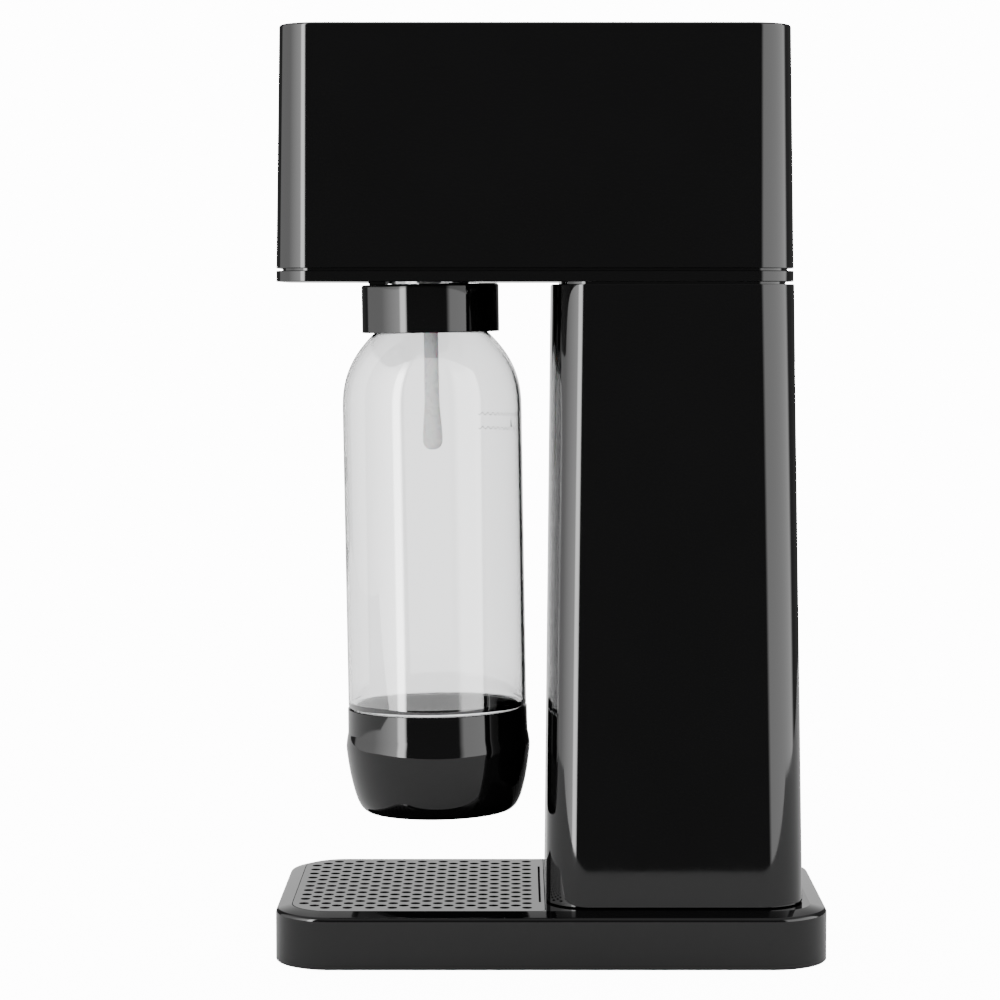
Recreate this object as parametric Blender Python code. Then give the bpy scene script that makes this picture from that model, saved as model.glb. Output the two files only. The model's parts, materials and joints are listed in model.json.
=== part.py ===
"""Soda carbonator: an assembly of separate pieces, in metres, +Z up.

The origin is at the centre of the footprint, the bottle side faces -Y and the width runs along X.
"""
import math

import bmesh
import bpy
from mathutils import Matrix, Vector

# ---- Overall sizes -------------------------------------------------------------------------
OVERALL_WIDTH = 0.140
OVERALL_DEPTH = 0.247
OVERALL_HEIGHT = 0.4168
GAP = 0.0003  # clearance between pieces that touch

# ---- Base ----------------------------------------------------------------------------------
BASE_CORNER = 0.026
BASE_BOTTOM = 0.0005
BASE_TOP = 0.0255
BASE_WALL = 0.0025
BASE_FILLET = 0.0020
RIM_WIDTH = 0.0075
RIM_ANGLE = math.radians(15.0)
PLATE_THICKNESS = 0.0025
FOOT_RADIUS = 0.0070
FOOT_INSET_X = 0.0180
FOOT_INSET_Y = 0.0185
FOOT_SEAT = 0.0015
SCREW_RADIUS = 0.0014
SCREW_HEAD_RADIUS = 0.0028
SCREW_HEAD_HEIGHT = 0.0009
BASE_SCREW_LENGTH = 0.0100
BOSS_RADIUS = 0.0040
BOSS_INSET = 0.0100

# ---- Drip tray and grille ------------------------------------------------------------------
GRILLE_SIDE_MARGIN = 0.0076
GRILLE_FRONT_MARGIN = 0.0075
GRILLE_TOWER_GAP = 0.0005
GRILLE_CORNER = 0.0184
GRILLE_REAR_CORNER = 0.0030
GRILLE_THICKNESS = 0.0015
HOLE_DIAMETER = 0.0044
HOLE_PITCH = 0.0050
HOLE_SIDES = 4
HOLE_FRONT_MARGIN = 0.00515  # from the plate's front edge to the first holes' centres
HOLE_SIDE_MARGIN = 0.0045  # least plate left beside a hole
HOLE_EDGE_MARGIN = 0.0010  # least plate left round a hole at the corners and the slot
SLOT_LENGTH = 0.0850
SLOT_WIDTH = 0.0010
SLOT_MARGIN = 0.0021
TRAY_WALL = 0.0015

# ---- Tower ---------------------------------------------------------------------------------
TOWER_REAR_MARGIN = 0.0104
TOWER_DEPTH = 0.1155
TOWER_SIDE_MARGIN = 0.0117
TOWER_CORNER = 0.0200
TOWER_WALL = 0.0036
TOWER_DRAFT_X = 0.0043
TOWER_DRAFT_FRONT = 0.0027
TOWER_DRAFT_REAR = 0.0049
REVEAL = 0.0010
PANEL_WIDTH = 0.0760
PANEL_MARGIN = 0.0350
POST_SIZE = 0.0100
POST_INSET = 0.0200
POST_REAR_INSET = 0.0092
PANEL_SCREW_LENGTH = 0.0140
PANEL_SCREW_MARGIN = 0.0150
SCREW_SINK = 0.0015  # how far a panel screw's seat lies below the surface
GUIDE_PLATE_DROP = 0.0500
GUIDE_PLATE_THICKNESS = 0.0030

# ---- Head ----------------------------------------------------------------------------------
HEAD_HEIGHT = 0.1134
HEAD_FRONT_MARGIN = 0.0009
HEAD_PLATE_THICKNESS = 0.0049
HEAD_WALL = 0.0025
HEAD_DRAFT = 0.0018
HEAD_FILLET = 0.0012
LIP_HEIGHT = 0.0060
LIP_THICKNESS = 0.0020

# ---- Button and lever ----------------------------------------------------------------------
BUTTON_SETBACK = 0.0303  # button centre in front of the tower's front face
BUTTON_WIDTH = 0.0480
BUTTON_LENGTH = 0.0560
BUTTON_CORNER = 0.0120
BUTTON_HEIGHT = 0.0073
BUTTON_WALL = 0.0020
BUTTON_TRAVEL = 0.0080
STEM_RADIUS = 0.0050
STEM_TIP_RADIUS = 0.0020
LEVER_HALF_WIDTH = 0.0060
LEVER_HALF_HEIGHT = 0.0040
LEVER_PIN_RADIUS = 0.0025
PIVOT_TO_CYLINDER = 0.0330

# ---- Gas cylinder and valve ----------------------------------------------------------------
CYLINDER_RADIUS = 0.0300
CYLINDER_LENGTH = 0.3270
CYLINDER_NECK_RADIUS = 0.0130
CYLINDER_SHOULDER = 0.0280
PORT_CLEARANCE = 0.0030
VALVE_RADIUS = 0.0105
VALVE_HEIGHT = 0.0165
BLOCK_HALF_WIDTH = 0.0190
BLOCK_HEIGHT = 0.0280
BLOCK_TO_LEVER = 0.0200
BLOCK_SOCKET_DEPTH = 0.0120
ACTUATOR_RADIUS = 0.0020
CHEEK_CLEARANCE = 0.0030  # between the gas cylinder's side and a cheek
CHEEK_THICKNESS = 0.0025
HOSE_X = 0.0100
HOSE_RADIUS = 0.0025
FITTING_LENGTH = 0.0090
HINGE_FITTING_START = 0.0223
HINGE_FITTING_LENGTH = 0.0060
RELIEF_DROP = 0.0180

# ---- Bottle holder -------------------------------------------------------------------------
BOTTLE_TO_TOWER = 0.0146  # between the bottle's side and the tower's front face, at the top
HINGE_RISE = 0.0057  # hinge axis above the head plate's top face
HINGE_PIN_RADIUS = 0.0030
EAR_INNER = 0.0090
EAR_OUTER = 0.0130
LEAN = math.radians(0.92)  # rest angle: the bottle's foot leans towards the tower
BOTTLE_OFFSET = 0.0307
RING_RADIUS = 0.0314
RING_WALL = 0.0030
RING_HEIGHT = 0.0219
RING_DROP = 0.0119
RING_ROOF = 0.0033
RING_EDGE = 0.0012  # round at the ring's upper edge
COLLAR_RADIUS = 0.0177
NECK_RADIUS = 0.0155
NOZZLE_FLANGE_RADIUS = 0.0200

# ---- Bottle --------------------------------------------------------------------------------
BOTTLE_RADIUS = 0.0410
BOTTLE_WALL = 0.0016
BOTTLE_SHOULDER_RADIUS = 0.0258
BOTTLE_SHOULDER_LENGTH = 0.0357
BOTTLE_LENGTH = 0.1720  # from the ring's lower edge to the cup's lip
SHOULDER_POWER = 2.5
CUP_HEIGHT = 0.0480
FOOT_STEP = 0.0020  # the bottle narrows by this where the cup takes over
FOOT_STRAIGHT = 0.0240
FOOT_DEPTH = 0.0380
FOOT_FLAT = 0.0300
TUBE_TOP_RADIUS = 0.00335
TUBE_TIP_RADIUS = 0.00456
TUBE_LENGTH = 0.0537
TUBE_BORE = 0.0012
DROP_LENGTH = 0.0240  # the tube swells to its tip over this
DROP_ROUND = 0.0045

# ---- Derived places ------------------------------------------------------------------------
HALF_WIDTH = OVERALL_WIDTH / 2
HALF_DEPTH = OVERALL_DEPTH / 2
HEAD_BOTTOM = OVERALL_HEIGHT - HEAD_HEIGHT
TOWER_TOP = HEAD_BOTTOM - REVEAL
TOWER_BOTTOM = BASE_TOP + GAP
TOWER_REAR = HALF_DEPTH - TOWER_REAR_MARGIN
TOWER_FRONT = TOWER_REAR - TOWER_DEPTH
TOWER_HALF = HALF_WIDTH - TOWER_SIDE_MARGIN
TOWER_TOP_HALF = TOWER_HALF - TOWER_DRAFT_X
TOWER_TOP_FRONT = TOWER_FRONT + TOWER_DRAFT_FRONT
TOWER_TOP_REAR = TOWER_REAR - TOWER_DRAFT_REAR
TOWER_CENTRE = (TOWER_TOP_FRONT + TOWER_TOP_REAR) / 2
PLATE_BOTTOM = BASE_BOTTOM
PLATE_TOP = PLATE_BOTTOM + PLATE_THICKNESS
HEAD_PLATE_TOP = HEAD_BOTTOM + HEAD_PLATE_THICKNESS
SHELL_BOTTOM = HEAD_PLATE_TOP + REVEAL
HEAD_FRONT = -HALF_DEPTH + HEAD_FRONT_MARGIN
HEAD_REAR = TOWER_TOP_REAR - GAP
GRILLE_HALF = HALF_WIDTH - GRILLE_SIDE_MARGIN
GRILLE_FRONT = -HALF_DEPTH + GRILLE_FRONT_MARGIN
GRILLE_REAR = TOWER_FRONT - GRILLE_TOWER_GAP
POST_X = TOWER_TOP_HALF - POST_INSET
POST_REAR = TOWER_TOP_REAR - POST_REAR_INSET
CYLINDER_Y = TOWER_CENTRE + 0.0008
SHELL_TOP_INSIDE = OVERALL_HEIGHT - HEAD_WALL
BUTTON_Y = TOWER_TOP_FRONT - BUTTON_SETBACK
BUTTON_TOP = OVERALL_HEIGHT - 0.0005
BUTTON_BOTTOM = BUTTON_TOP - BUTTON_HEIGHT
GUIDE_FLOOR_TOP = BUTTON_BOTTOM - BUTTON_TRAVEL - 0.0010
GUIDE_FLOOR_BOTTOM = GUIDE_FLOOR_TOP - 0.0020
LEVER_Z = GUIDE_FLOOR_BOTTOM - LEVER_HALF_HEIGHT - 0.0020
PIVOT_Y = CYLINDER_Y + PIVOT_TO_CYLINDER
BLOCK_TOP = LEVER_Z - LEVER_HALF_HEIGHT - BLOCK_TO_LEVER
BLOCK_BOTTOM = BLOCK_TOP - BLOCK_HEIGHT
CYLINDER_TOP = BLOCK_BOTTOM - 0.0067
CYLINDER_BOTTOM = CYLINDER_TOP - CYLINDER_LENGTH
PORT_RADIUS = CYLINDER_RADIUS + PORT_CLEARANCE
CHEEK_OFFSET = CYLINDER_RADIUS + CHEEK_CLEARANCE
HINGE_Y = TOWER_TOP_FRONT - BOTTLE_TO_TOWER - BOTTLE_RADIUS - BOTTLE_OFFSET
HINGE_Z = HEAD_PLATE_TOP + HINGE_RISE
SLOT_Y = GRILLE_REAR - SLOT_MARGIN
HOLE_RADIUS = HOLE_DIAMETER / 2
HOLE_RUN = SLOT_Y - SLOT_WIDTH / 2 - HOLE_EDGE_MARGIN - HOLE_RADIUS - GRILLE_FRONT - HOLE_FRONT_MARGIN
HOLE_COLUMNS = 1 + int(HOLE_RUN / HOLE_PITCH)
HOLE_ROWS = 1 + int((GRILLE_HALF - HOLE_RADIUS - HOLE_SIDE_MARGIN) / HOLE_PITCH)

# Heights in the holder's own frame, whose origin is on the hinge axis
RING_TOP = -RING_DROP
RING_BOTTOM = RING_TOP - RING_HEIGHT
FLANGE_TOP = RING_TOP + 0.0023
NOZZLE_BOTTOM = FLANGE_TOP + GAP
BOTTLE_TOP = RING_TOP + 0.0007
NECK_FOOT = RING_BOTTOM + 0.0082
CUP_TOP = RING_BOTTOM - BOTTLE_LENGTH

# ---- Facets of round pieces ----------------------------------------------------------------
ROUND = 24
SCREW_SIDES = 8
FOOT_SIDES = 16
SMALL_ROUND = 10
HINGE_SIDES = 16
CORNER_STEPS = 6

# ---- Colours: base colour, roughness, metallic, transmission --------------------------------
GLOSS_BLACK = ((0.006, 0.006, 0.007), 0.08)
SATIN_BLACK = ((0.010, 0.010, 0.011), 0.40)
STEEL = ((0.55, 0.55, 0.56), 0.30, 1.0)
BRASS = ((0.60, 0.45, 0.20), 0.30, 1.0)
RUBBER = ((0.02, 0.02, 0.02), 0.80)
NATURAL_PLASTIC = ((0.75, 0.76, 0.76), 0.45)
CLEAR = ((0.95, 0.96, 0.97), 0.04, 0.0, 0.9)


# ---- Shape tools ---------------------------------------------------------------------------
def rounded_outline(x0, x1, y0, y1, front_radius, rear_radius=None):
    """Anticlockwise outline of a rectangle whose front and rear corners are arcs."""
    rear_radius = front_radius if rear_radius is None else rear_radius
    corners = (
        (x0 + front_radius, y0 + front_radius, front_radius, math.pi),
        (x1 - front_radius, y0 + front_radius, front_radius, 1.5 * math.pi),
        (x1 - rear_radius, y1 - rear_radius, rear_radius, 0.0),
        (x0 + rear_radius, y1 - rear_radius, rear_radius, 0.5 * math.pi),
    )
    points = []
    for cx, cy, radius, start in corners:
        for step in range(CORNER_STEPS + 1):
            angle = start + 0.5 * math.pi * step / CORNER_STEPS
            points.append((cx + radius * math.cos(angle), cy + radius * math.sin(angle)))
    return points


def circle_outline(cx, cy, radius, sides=ROUND, turn=0.0):
    """Anticlockwise regular outline of a round shape."""
    angles = [turn + 2 * math.pi * i / sides for i in range(sides)]
    return [(cx + radius * math.cos(a), cy + radius * math.sin(a)) for a in angles]


def box_outline(x0, x1, y0, y1):
    return [(x0, y0), (x1, y0), (x1, y1), (x0, y1)]


def add_loft(bm, rings):
    """A closed body through rings of equal point counts, lowest first, with flat ends."""
    rows = [[bm.verts.new(point) for point in ring] for ring in rings]
    count = len(rows[0])
    for low, high in zip(rows, rows[1:]):
        for i in range(count):
            j = (i + 1) % count
            bm.faces.new((low[i], low[j], high[j], high[i]))
    bm.faces.new(list(reversed(rows[0])))
    bm.faces.new(rows[-1])


def level(outline, z):
    return [(x, y, z) for x, y in outline]


def add_prism(bm, outline, z0, z1):
    add_loft(bm, [level(outline, z0), level(outline, z1)])


def add_turned(bm, profile, sides=ROUND):
    """Turn a closed loop of (radius, height), or a line whose two ends lie on the axis."""
    columns = []
    on_axis = {i: bm.verts.new((0, 0, z)) for i, (r, z) in enumerate(profile) if r == 0}
    for side in range(sides):
        angle = 2 * math.pi * side / sides
        column = []
        for i, (r, z) in enumerate(profile):
            place = (r * math.cos(angle), r * math.sin(angle), z)
            column.append(on_axis[i] if r == 0 else bm.verts.new(place))
        columns.append(column)
    for side in range(sides):
        left = columns[side]
        right = columns[(side + 1) % sides]
        for i in range(len(profile)):
            j = (i + 1) % len(profile)
            corners = [left[i], right[i], right[j], left[j]]
            corners = list(dict.fromkeys(corners))
            if len(corners) > 2:
                bm.faces.new(corners)


def arc(cr, cz, radius, start, end, steps):
    """Points of an arc in a turned profile; angles in degrees, 0 is outwards, 90 is up."""
    angles = [math.radians(start + (end - start) * i / steps) for i in range(steps + 1)]
    return [(cr + radius * math.cos(a), cz + radius * math.sin(a)) for a in angles]


def new_object(name, bm):
    bmesh.ops.recalc_face_normals(bm, faces=bm.faces[:])
    mesh = bpy.data.meshes.new(name)
    bm.to_mesh(mesh)
    bm.free()
    mesh.shade_smooth()
    mesh.set_sharp_from_angle(angle=math.radians(35))
    obj = bpy.data.objects.new(name, mesh)
    bpy.context.scene.collection.objects.link(obj)
    return obj


def shape(name, builder, *args, **kwargs):
    """One object made by one of the add_ functions."""
    bm = bmesh.new()
    builder(bm, *args, **kwargs)
    return new_object(name, bm)


def block(name, x0, x1, y0, y1, z0, z1):
    return shape(name, add_prism, box_outline(x0, x1, y0, y1), z0, z1)


def aim(obj, direction, place):
    """Lay a shape that was made along +Z along another direction, starting at a place."""
    turn = Vector((0, 0, 1)).rotation_difference(Vector(direction)).to_matrix().to_4x4()
    obj.data.transform(Matrix.Translation(place) @ turn)
    return obj


def plate_x(name, outline, x0, x1):
    """A flat plate that stands in the YZ plane, from an outline of (y, z) points."""
    return shape(name, add_loft, [[(x, y, z) for y, z in outline] for x in (x0, x1)])


def rod_x(name, x0, x1, y, z, radius, sides=SMALL_ROUND):
    rod = shape(name, add_prism, circle_outline(0, 0, radius, sides), 0, x1 - x0)
    return aim(rod, (1, 0, 0), (x0, y, z))


def combine(obj, operation, tools):
    """Add or cut tools with Boolean modifiers; a tool stays in the file as a guide."""
    for tool in tools:
        tool.hide_render = True
        tool.display_type = "WIRE"
        modifier = obj.modifiers.new(tool.name, "BOOLEAN")
        modifier.operation = operation
        modifier.solver = "EXACT"
        modifier.object = tool
    return obj


def cut(obj, *tools):
    return combine(obj, "DIFFERENCE", tools)


def unite(obj, *tools):
    return combine(obj, "UNION", tools)


def paint(obj, colour, roughness, metallic=0.0, transmission=0.0):
    """Give an object its own Principled material."""
    material = bpy.data.materials.new(obj.name)
    material.use_nodes = True
    shader = material.node_tree.nodes["Principled BSDF"]
    shader.inputs["Base Color"].default_value = (*colour, 1.0)
    shader.inputs["Roughness"].default_value = roughness
    shader.inputs["Metallic"].default_value = metallic
    shader.inputs["Transmission Weight"].default_value = transmission
    obj.data.materials.append(material)
    return obj


# ---- Base ----------------------------------------------------------------------------------
def base_outline(inset):
    radius = BASE_CORNER - inset
    x = HALF_WIDTH - inset
    y = HALF_DEPTH - inset
    return rounded_outline(-x, x, -y, y, radius)


def grille_outline(grow):
    front_radius = GRILLE_CORNER + grow
    rear_radius = GRILLE_REAR_CORNER + grow
    x = GRILLE_HALF + grow
    return rounded_outline(-x, x, GRILLE_FRONT - grow, GRILLE_REAR + grow, front_radius, rear_radius)


def base_screw_places():
    """Two screws just behind the tray and two near the rear corners."""
    x = HALF_WIDTH - BOSS_INSET
    front = TOWER_FRONT + 0.0164
    rear = HALF_DEPTH - BASE_CORNER - 0.0015
    return [(-x, front), (x, front), (-x, rear), (x, rear)]


def tower_bay_outline(margin):
    """The opening under the tower, set in from the tower's inner face."""
    inset = TOWER_WALL + margin
    x = TOWER_HALF - inset
    return rounded_outline(-x, x, TOWER_FRONT + inset, TOWER_REAR - inset, TOWER_CORNER - inset)


def make_base_shell():
    tilt = math.pi / 2 - RIM_ANGLE
    run = RIM_WIDTH - BASE_FILLET * (1 - math.cos(tilt))
    arc_start = BASE_TOP - run * math.tan(RIM_ANGLE) - BASE_FILLET * math.sin(tilt)
    rings = [level(base_outline(0), BASE_BOTTOM)]
    for step in range(4):
        angle = tilt * step / 3
        inset = BASE_FILLET * (1 - math.cos(angle))
        rings.append(level(base_outline(inset), arc_start + BASE_FILLET * math.sin(angle)))
    rings.append(level(base_outline(RIM_WIDTH), BASE_TOP))
    shell = shape("base_shell", add_loft, rings)
    roof = arc_start - 0.0006
    cavity = shape("base_cavity", add_prism, base_outline(BASE_WALL), -BASE_TOP, roof)
    cut(shell, cavity)
    bosses = []
    holes = []
    for i, (x, y) in enumerate(base_screw_places()):
        post = circle_outline(x, y, BOSS_RADIUS, SMALL_ROUND)
        hole = circle_outline(x, y, SCREW_RADIUS + GAP, SCREW_SIDES)
        bosses.append(shape(f"boss_{i}", add_prism, post, PLATE_TOP + GAP, BASE_TOP - 0.001))
        top = PLATE_TOP + BASE_SCREW_LENGTH + 0.001
        holes.append(shape(f"boss_hole_{i}", add_prism, hole, 0, top))
    unite(shell, *bosses)
    tray_well = shape("tray_well", add_prism, grille_outline(GAP), 0, 2 * BASE_TOP)
    tower_bay = shape("tower_bay", add_prism, tower_bay_outline(0.004), 0, 2 * BASE_TOP)
    cut(shell, *holes, tray_well, tower_bay)
    paint(shell, *GLOSS_BLACK)


def foot_places():
    x = HALF_WIDTH - FOOT_INSET_X
    y = HALF_DEPTH - FOOT_INSET_Y
    return [(-x, -y), (x, -y), (-x, y), (x, y)]


def make_base_plate():
    outline = base_outline(BASE_WALL + GAP)
    plate = shape("base_plate", add_prism, outline, PLATE_BOTTOM, PLATE_TOP)
    port_outline = circle_outline(0, CYLINDER_Y, PORT_RADIUS, ROUND)
    cuts = [shape("port", add_prism, port_outline, -PLATE_TOP, 2 * PLATE_TOP)]
    for i, (x, y) in enumerate(foot_places()):
        seat = circle_outline(x, y, FOOT_RADIUS + GAP, FOOT_SIDES)
        cuts.append(shape(f"foot_seat_{i}", add_prism, seat, 0, PLATE_BOTTOM + FOOT_SEAT))
    for i, (x, y) in enumerate(base_screw_places()):
        hole = shape(f"screw_hole_{i}", add_turned, screw_hole_profile(), SCREW_SIDES)
        cuts.append(aim(hole, (0, 0, 1), (x, y, PLATE_BOTTOM + SCREW_HEAD_HEIGHT + GAP)))
    cut(plate, *cuts)
    paint(plate, *SATIN_BLACK)


def make_feet():
    top = PLATE_BOTTOM + FOOT_SEAT - GAP
    edge = 0.0004
    profile = [(0, 0), (FOOT_RADIUS - edge, 0), (FOOT_RADIUS, edge), (FOOT_RADIUS, top), (0, top)]
    for i, (x, y) in enumerate(foot_places()):
        foot = shape(f"foot_{i + 1}", add_turned, profile, FOOT_SIDES)
        foot.location = (x, y, 0)
        paint(foot, *RUBBER)


def screw_hole_profile():
    """Cutter for a screw: its head's sink ends at height 0 and the shank's hole runs above."""
    hole = SCREW_RADIUS + GAP
    sink = SCREW_HEAD_RADIUS + GAP
    return [(0, -0.005), (sink, -0.005), (sink, 0), (hole, 0), (hole, 0.02), (0, 0.02)]


def screw_profile(length):
    """A pan head at the bottom and a plain shank above it."""
    head = SCREW_HEAD_RADIUS
    top = SCREW_HEAD_HEIGHT
    return [
        (0, 0),
        (head - 0.0003, 0),
        (head, 0.0003),
        (head, top),
        (SCREW_RADIUS, top),
        (SCREW_RADIUS, length),
        (0, length),
    ]


def make_base_screws():
    for i, (x, y) in enumerate(base_screw_places()):
        length = PLATE_TOP - PLATE_BOTTOM + BASE_SCREW_LENGTH
        screw = shape(f"base_screw_{i + 1}", add_turned, screw_profile(length), SCREW_SIDES)
        screw.location = (x, y, PLATE_BOTTOM)
        paint(screw, *STEEL)


def make_drip_tray():
    bottom = PLATE_TOP + GAP
    top = BASE_TOP - GRILLE_THICKNESS - GAP
    tray = shape("drip_tray", add_prism, grille_outline(-GAP), bottom, top)
    basin = grille_outline(-GAP - TRAY_WALL)
    cut(tray, shape("tray_basin", add_prism, basin, bottom + TRAY_WALL, 2 * top))
    paint(tray, *SATIN_BLACK)


def clear_of_corner(x, y):
    """Whether a hole here leaves enough plate at the grille's round front corners."""
    across = abs(x) - (GRILLE_HALF - GRILLE_CORNER)
    along = GRILLE_FRONT + GRILLE_CORNER - y
    if across <= 0 or along <= 0:
        return True
    return math.hypot(across, along) <= GRILLE_CORNER - HOLE_RADIUS - HOLE_EDGE_MARGIN


def grille_hole_places():
    """Staggered columns, without the holes that would break into a round corner."""
    for column in range(HOLE_COLUMNS):
        count = HOLE_ROWS - column % 2
        y = GRILLE_FRONT + HOLE_FRONT_MARGIN + column * HOLE_PITCH
        for row in range(count):
            x = (row - (count - 1) / 2) * 2 * HOLE_PITCH
            if clear_of_corner(x, y):
                yield x, y


def make_drip_grille():
    bottom = BASE_TOP - GRILLE_THICKNESS
    grille = shape("drip_grille", add_prism, grille_outline(0), bottom, BASE_TOP)
    area = math.pi * HOLE_RADIUS**2
    corner = math.sqrt(2 * area / (HOLE_SIDES * math.sin(2 * math.pi / HOLE_SIDES)))
    holes = bmesh.new()
    for x, y in grille_hole_places():
        add_prism(holes, circle_outline(x, y, corner, HOLE_SIDES), 0, 2 * BASE_TOP)
    half = SLOT_LENGTH / 2
    slot = box_outline(-half, half, SLOT_Y - SLOT_WIDTH / 2, SLOT_Y + SLOT_WIDTH / 2)
    add_prism(holes, slot, 0, 2 * BASE_TOP)
    cut(grille, new_object("grille_holes", holes))
    paint(grille, *GLOSS_BLACK)


# ---- Tower ---------------------------------------------------------------------------------
def tower_rings(inset, overrun=0.0):
    """Bottom and top outlines of the tapered column, optionally run past both ends."""
    height = TOWER_TOP - TOWER_BOTTOM
    rings = []
    for z in (TOWER_BOTTOM - overrun, TOWER_TOP + overrun):
        t = (z - TOWER_BOTTOM) / height
        x = TOWER_HALF - TOWER_DRAFT_X * t - inset
        front = TOWER_FRONT + TOWER_DRAFT_FRONT * t + inset
        rear = TOWER_REAR - TOWER_DRAFT_REAR * t - inset
        rings.append(level(rounded_outline(-x, x, front, rear, TOWER_CORNER - inset), z))
    return rings


def tower_rear_at(z):
    return TOWER_REAR - TOWER_DRAFT_REAR * (z - TOWER_BOTTOM) / (TOWER_TOP - TOWER_BOTTOM)


def panel_window(name, grow):
    """The box that parts the rear panel from the tower wall."""
    x = PANEL_WIDTH / 2 + grow
    z0 = TOWER_BOTTOM + PANEL_MARGIN - grow
    z1 = TOWER_TOP - PANEL_MARGIN + grow
    return block(name, -x, x, TOWER_TOP_REAR - 0.015, TOWER_REAR + 0.010, z0, z1)


def panel_screw_places():
    z0 = TOWER_BOTTOM + PANEL_MARGIN + PANEL_SCREW_MARGIN
    z1 = TOWER_TOP - PANEL_MARGIN - PANEL_SCREW_MARGIN
    return [(-POST_X, z0), (POST_X, z0), (-POST_X, z1), (POST_X, z1)]


def make_tower():
    shell = shape("tower_shell", add_loft, tower_rings(0))
    hollow = shape("tower_hollow", add_loft, tower_rings(TOWER_WALL, 0.002))
    cut(shell, hollow, panel_window("tower_window", GAP))
    paint(shell, *GLOSS_BLACK)

    panel = shape("rear_panel", add_loft, tower_rings(0))
    inside = shape("panel_hollow", add_loft, tower_rings(TOWER_WALL, 0.002))
    combine(panel, "INTERSECT", [panel_window("panel_bounds", 0)])
    holes = []
    for i, (x, z) in enumerate(panel_screw_places()):
        hole = shape(f"panel_hole_{i}", add_turned, screw_hole_profile(), SCREW_SIDES)
        holes.append(aim(hole, (0, -1, 0), (x, tower_rear_at(z) - SCREW_SINK, z)))
    cut(panel, inside, *holes)
    paint(panel, *SATIN_BLACK)

    for i, (x, z) in enumerate(panel_screw_places()):
        screw = shape(f"panel_screw_{i + 1}", add_turned, screw_profile(PANEL_SCREW_LENGTH), SCREW_SIDES)
        screw.rotation_euler.x = math.pi / 2
        screw.location = (x, tower_rear_at(z) - SCREW_SINK + SCREW_HEAD_HEIGHT + GAP, z)
        paint(screw, *STEEL)


def rod_profile(radius, length):
    return [(0, 0), (radius, 0), (radius, length), (0, length)]


def make_posts():
    half = POST_SIZE / 2
    for side, name in ((-1, "frame_post_left"), (1, "frame_post_right")):
        x = side * POST_X
        y0 = POST_REAR - POST_SIZE
        post = block(name, x - half, x + half, y0, POST_REAR, PLATE_TOP + GAP, HEAD_BOTTOM - GAP)
        holes = []
        for i, (hole_x, z) in enumerate(panel_screw_places()):
            if hole_x * side > 0:
                profile = rod_profile(SCREW_RADIUS + GAP, 2 * POST_SIZE)
                hole = shape(f"{name}_hole_{i}", add_turned, profile, SCREW_SIDES)
                holes.append(aim(hole, (0, 1, 0), (x, y0 - 0.005, z)))
        cut(post, *holes)
        paint(post, *STEEL)


def make_cylinder_guide():
    z = TOWER_TOP - GUIDE_PLATE_DROP
    x = TOWER_TOP_HALF - TOWER_WALL - 0.0024
    front = TOWER_TOP_FRONT + TOWER_WALL + 0.012
    rear = POST_REAR - POST_SIZE - GAP
    plate_outline = box_outline(-x, x, front, rear)
    guide = shape("cylinder_guide", add_prism, plate_outline, z, z + GUIDE_PLATE_THICKNESS)
    bore = circle_outline(0, CYLINDER_Y, CYLINDER_RADIUS + 0.0012)
    cut(guide, shape("guide_bore", add_prism, bore, z - 0.01, z + 0.01))
    paint(guide, *SATIN_BLACK)


# ---- Head ----------------------------------------------------------------------------------
def head_outline(inset):
    x = TOWER_TOP_HALF - inset
    radius = TOWER_CORNER - inset
    return rounded_outline(-x, x, HEAD_FRONT + inset, HEAD_REAR - inset, radius)


def lip_ring(name, outline, inner, z0, z1):
    ring = shape(name, add_prism, outline, z0, z1)
    return cut(ring, shape(name + "_inside", add_prism, inner, z0 - 0.01, z1 + 0.01))


def make_head_plate():
    plate = shape("head_plate", add_prism, head_outline(0), HEAD_BOTTOM, HEAD_PLATE_TOP)
    upper = HEAD_WALL + GAP
    outer = head_outline(upper)
    inner = head_outline(upper + LIP_THICKNESS)
    span = (HEAD_PLATE_TOP - 0.001, HEAD_PLATE_TOP + LIP_HEIGHT)
    upper_lip = lip_ring("upper_lip", outer, inner, *span)
    lower = TOWER_WALL + GAP
    x = TOWER_TOP_HALF - lower
    bounds = (TOWER_TOP_FRONT + lower, TOWER_TOP_REAR - lower)
    outer = rounded_outline(-x, x, *bounds, TOWER_CORNER - lower)
    x -= LIP_THICKNESS
    bounds = (bounds[0] + LIP_THICKNESS, bounds[1] - LIP_THICKNESS)
    inner = rounded_outline(-x, x, *bounds, TOWER_CORNER - lower - LIP_THICKNESS)
    lower_lip = lip_ring("lower_lip", outer, inner, HEAD_BOTTOM - LIP_HEIGHT, HEAD_BOTTOM + 0.001)
    unite(plate, upper_lip, lower_lip)
    above = HEAD_PLATE_TOP + 0.01
    below = HEAD_BOTTOM - 0.01
    port = circle_outline(0, CYLINDER_Y, PORT_RADIUS)
    neck_y = HINGE_Y + BOTTLE_OFFSET
    neck = circle_outline(0, neck_y, NOZZLE_FLANGE_RADIUS + 0.004)
    ears = box_outline(-EAR_OUTER - 0.001, EAR_OUTER + 0.001, HINGE_Y - 0.0020, neck_y)
    cut(
        plate,
        shape("cylinder_opening", add_prism, port, below, above),
        shape("neck_opening", add_prism, neck, below, above),
        shape("ear_opening", add_prism, ears, below, above),
    )
    paint(plate, *GLOSS_BLACK)


def button_outline(grow):
    x = BUTTON_WIDTH / 2 + grow
    y = BUTTON_LENGTH / 2 + grow
    return rounded_outline(-x, x, BUTTON_Y - y, BUTTON_Y + y, BUTTON_CORNER + grow)


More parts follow.
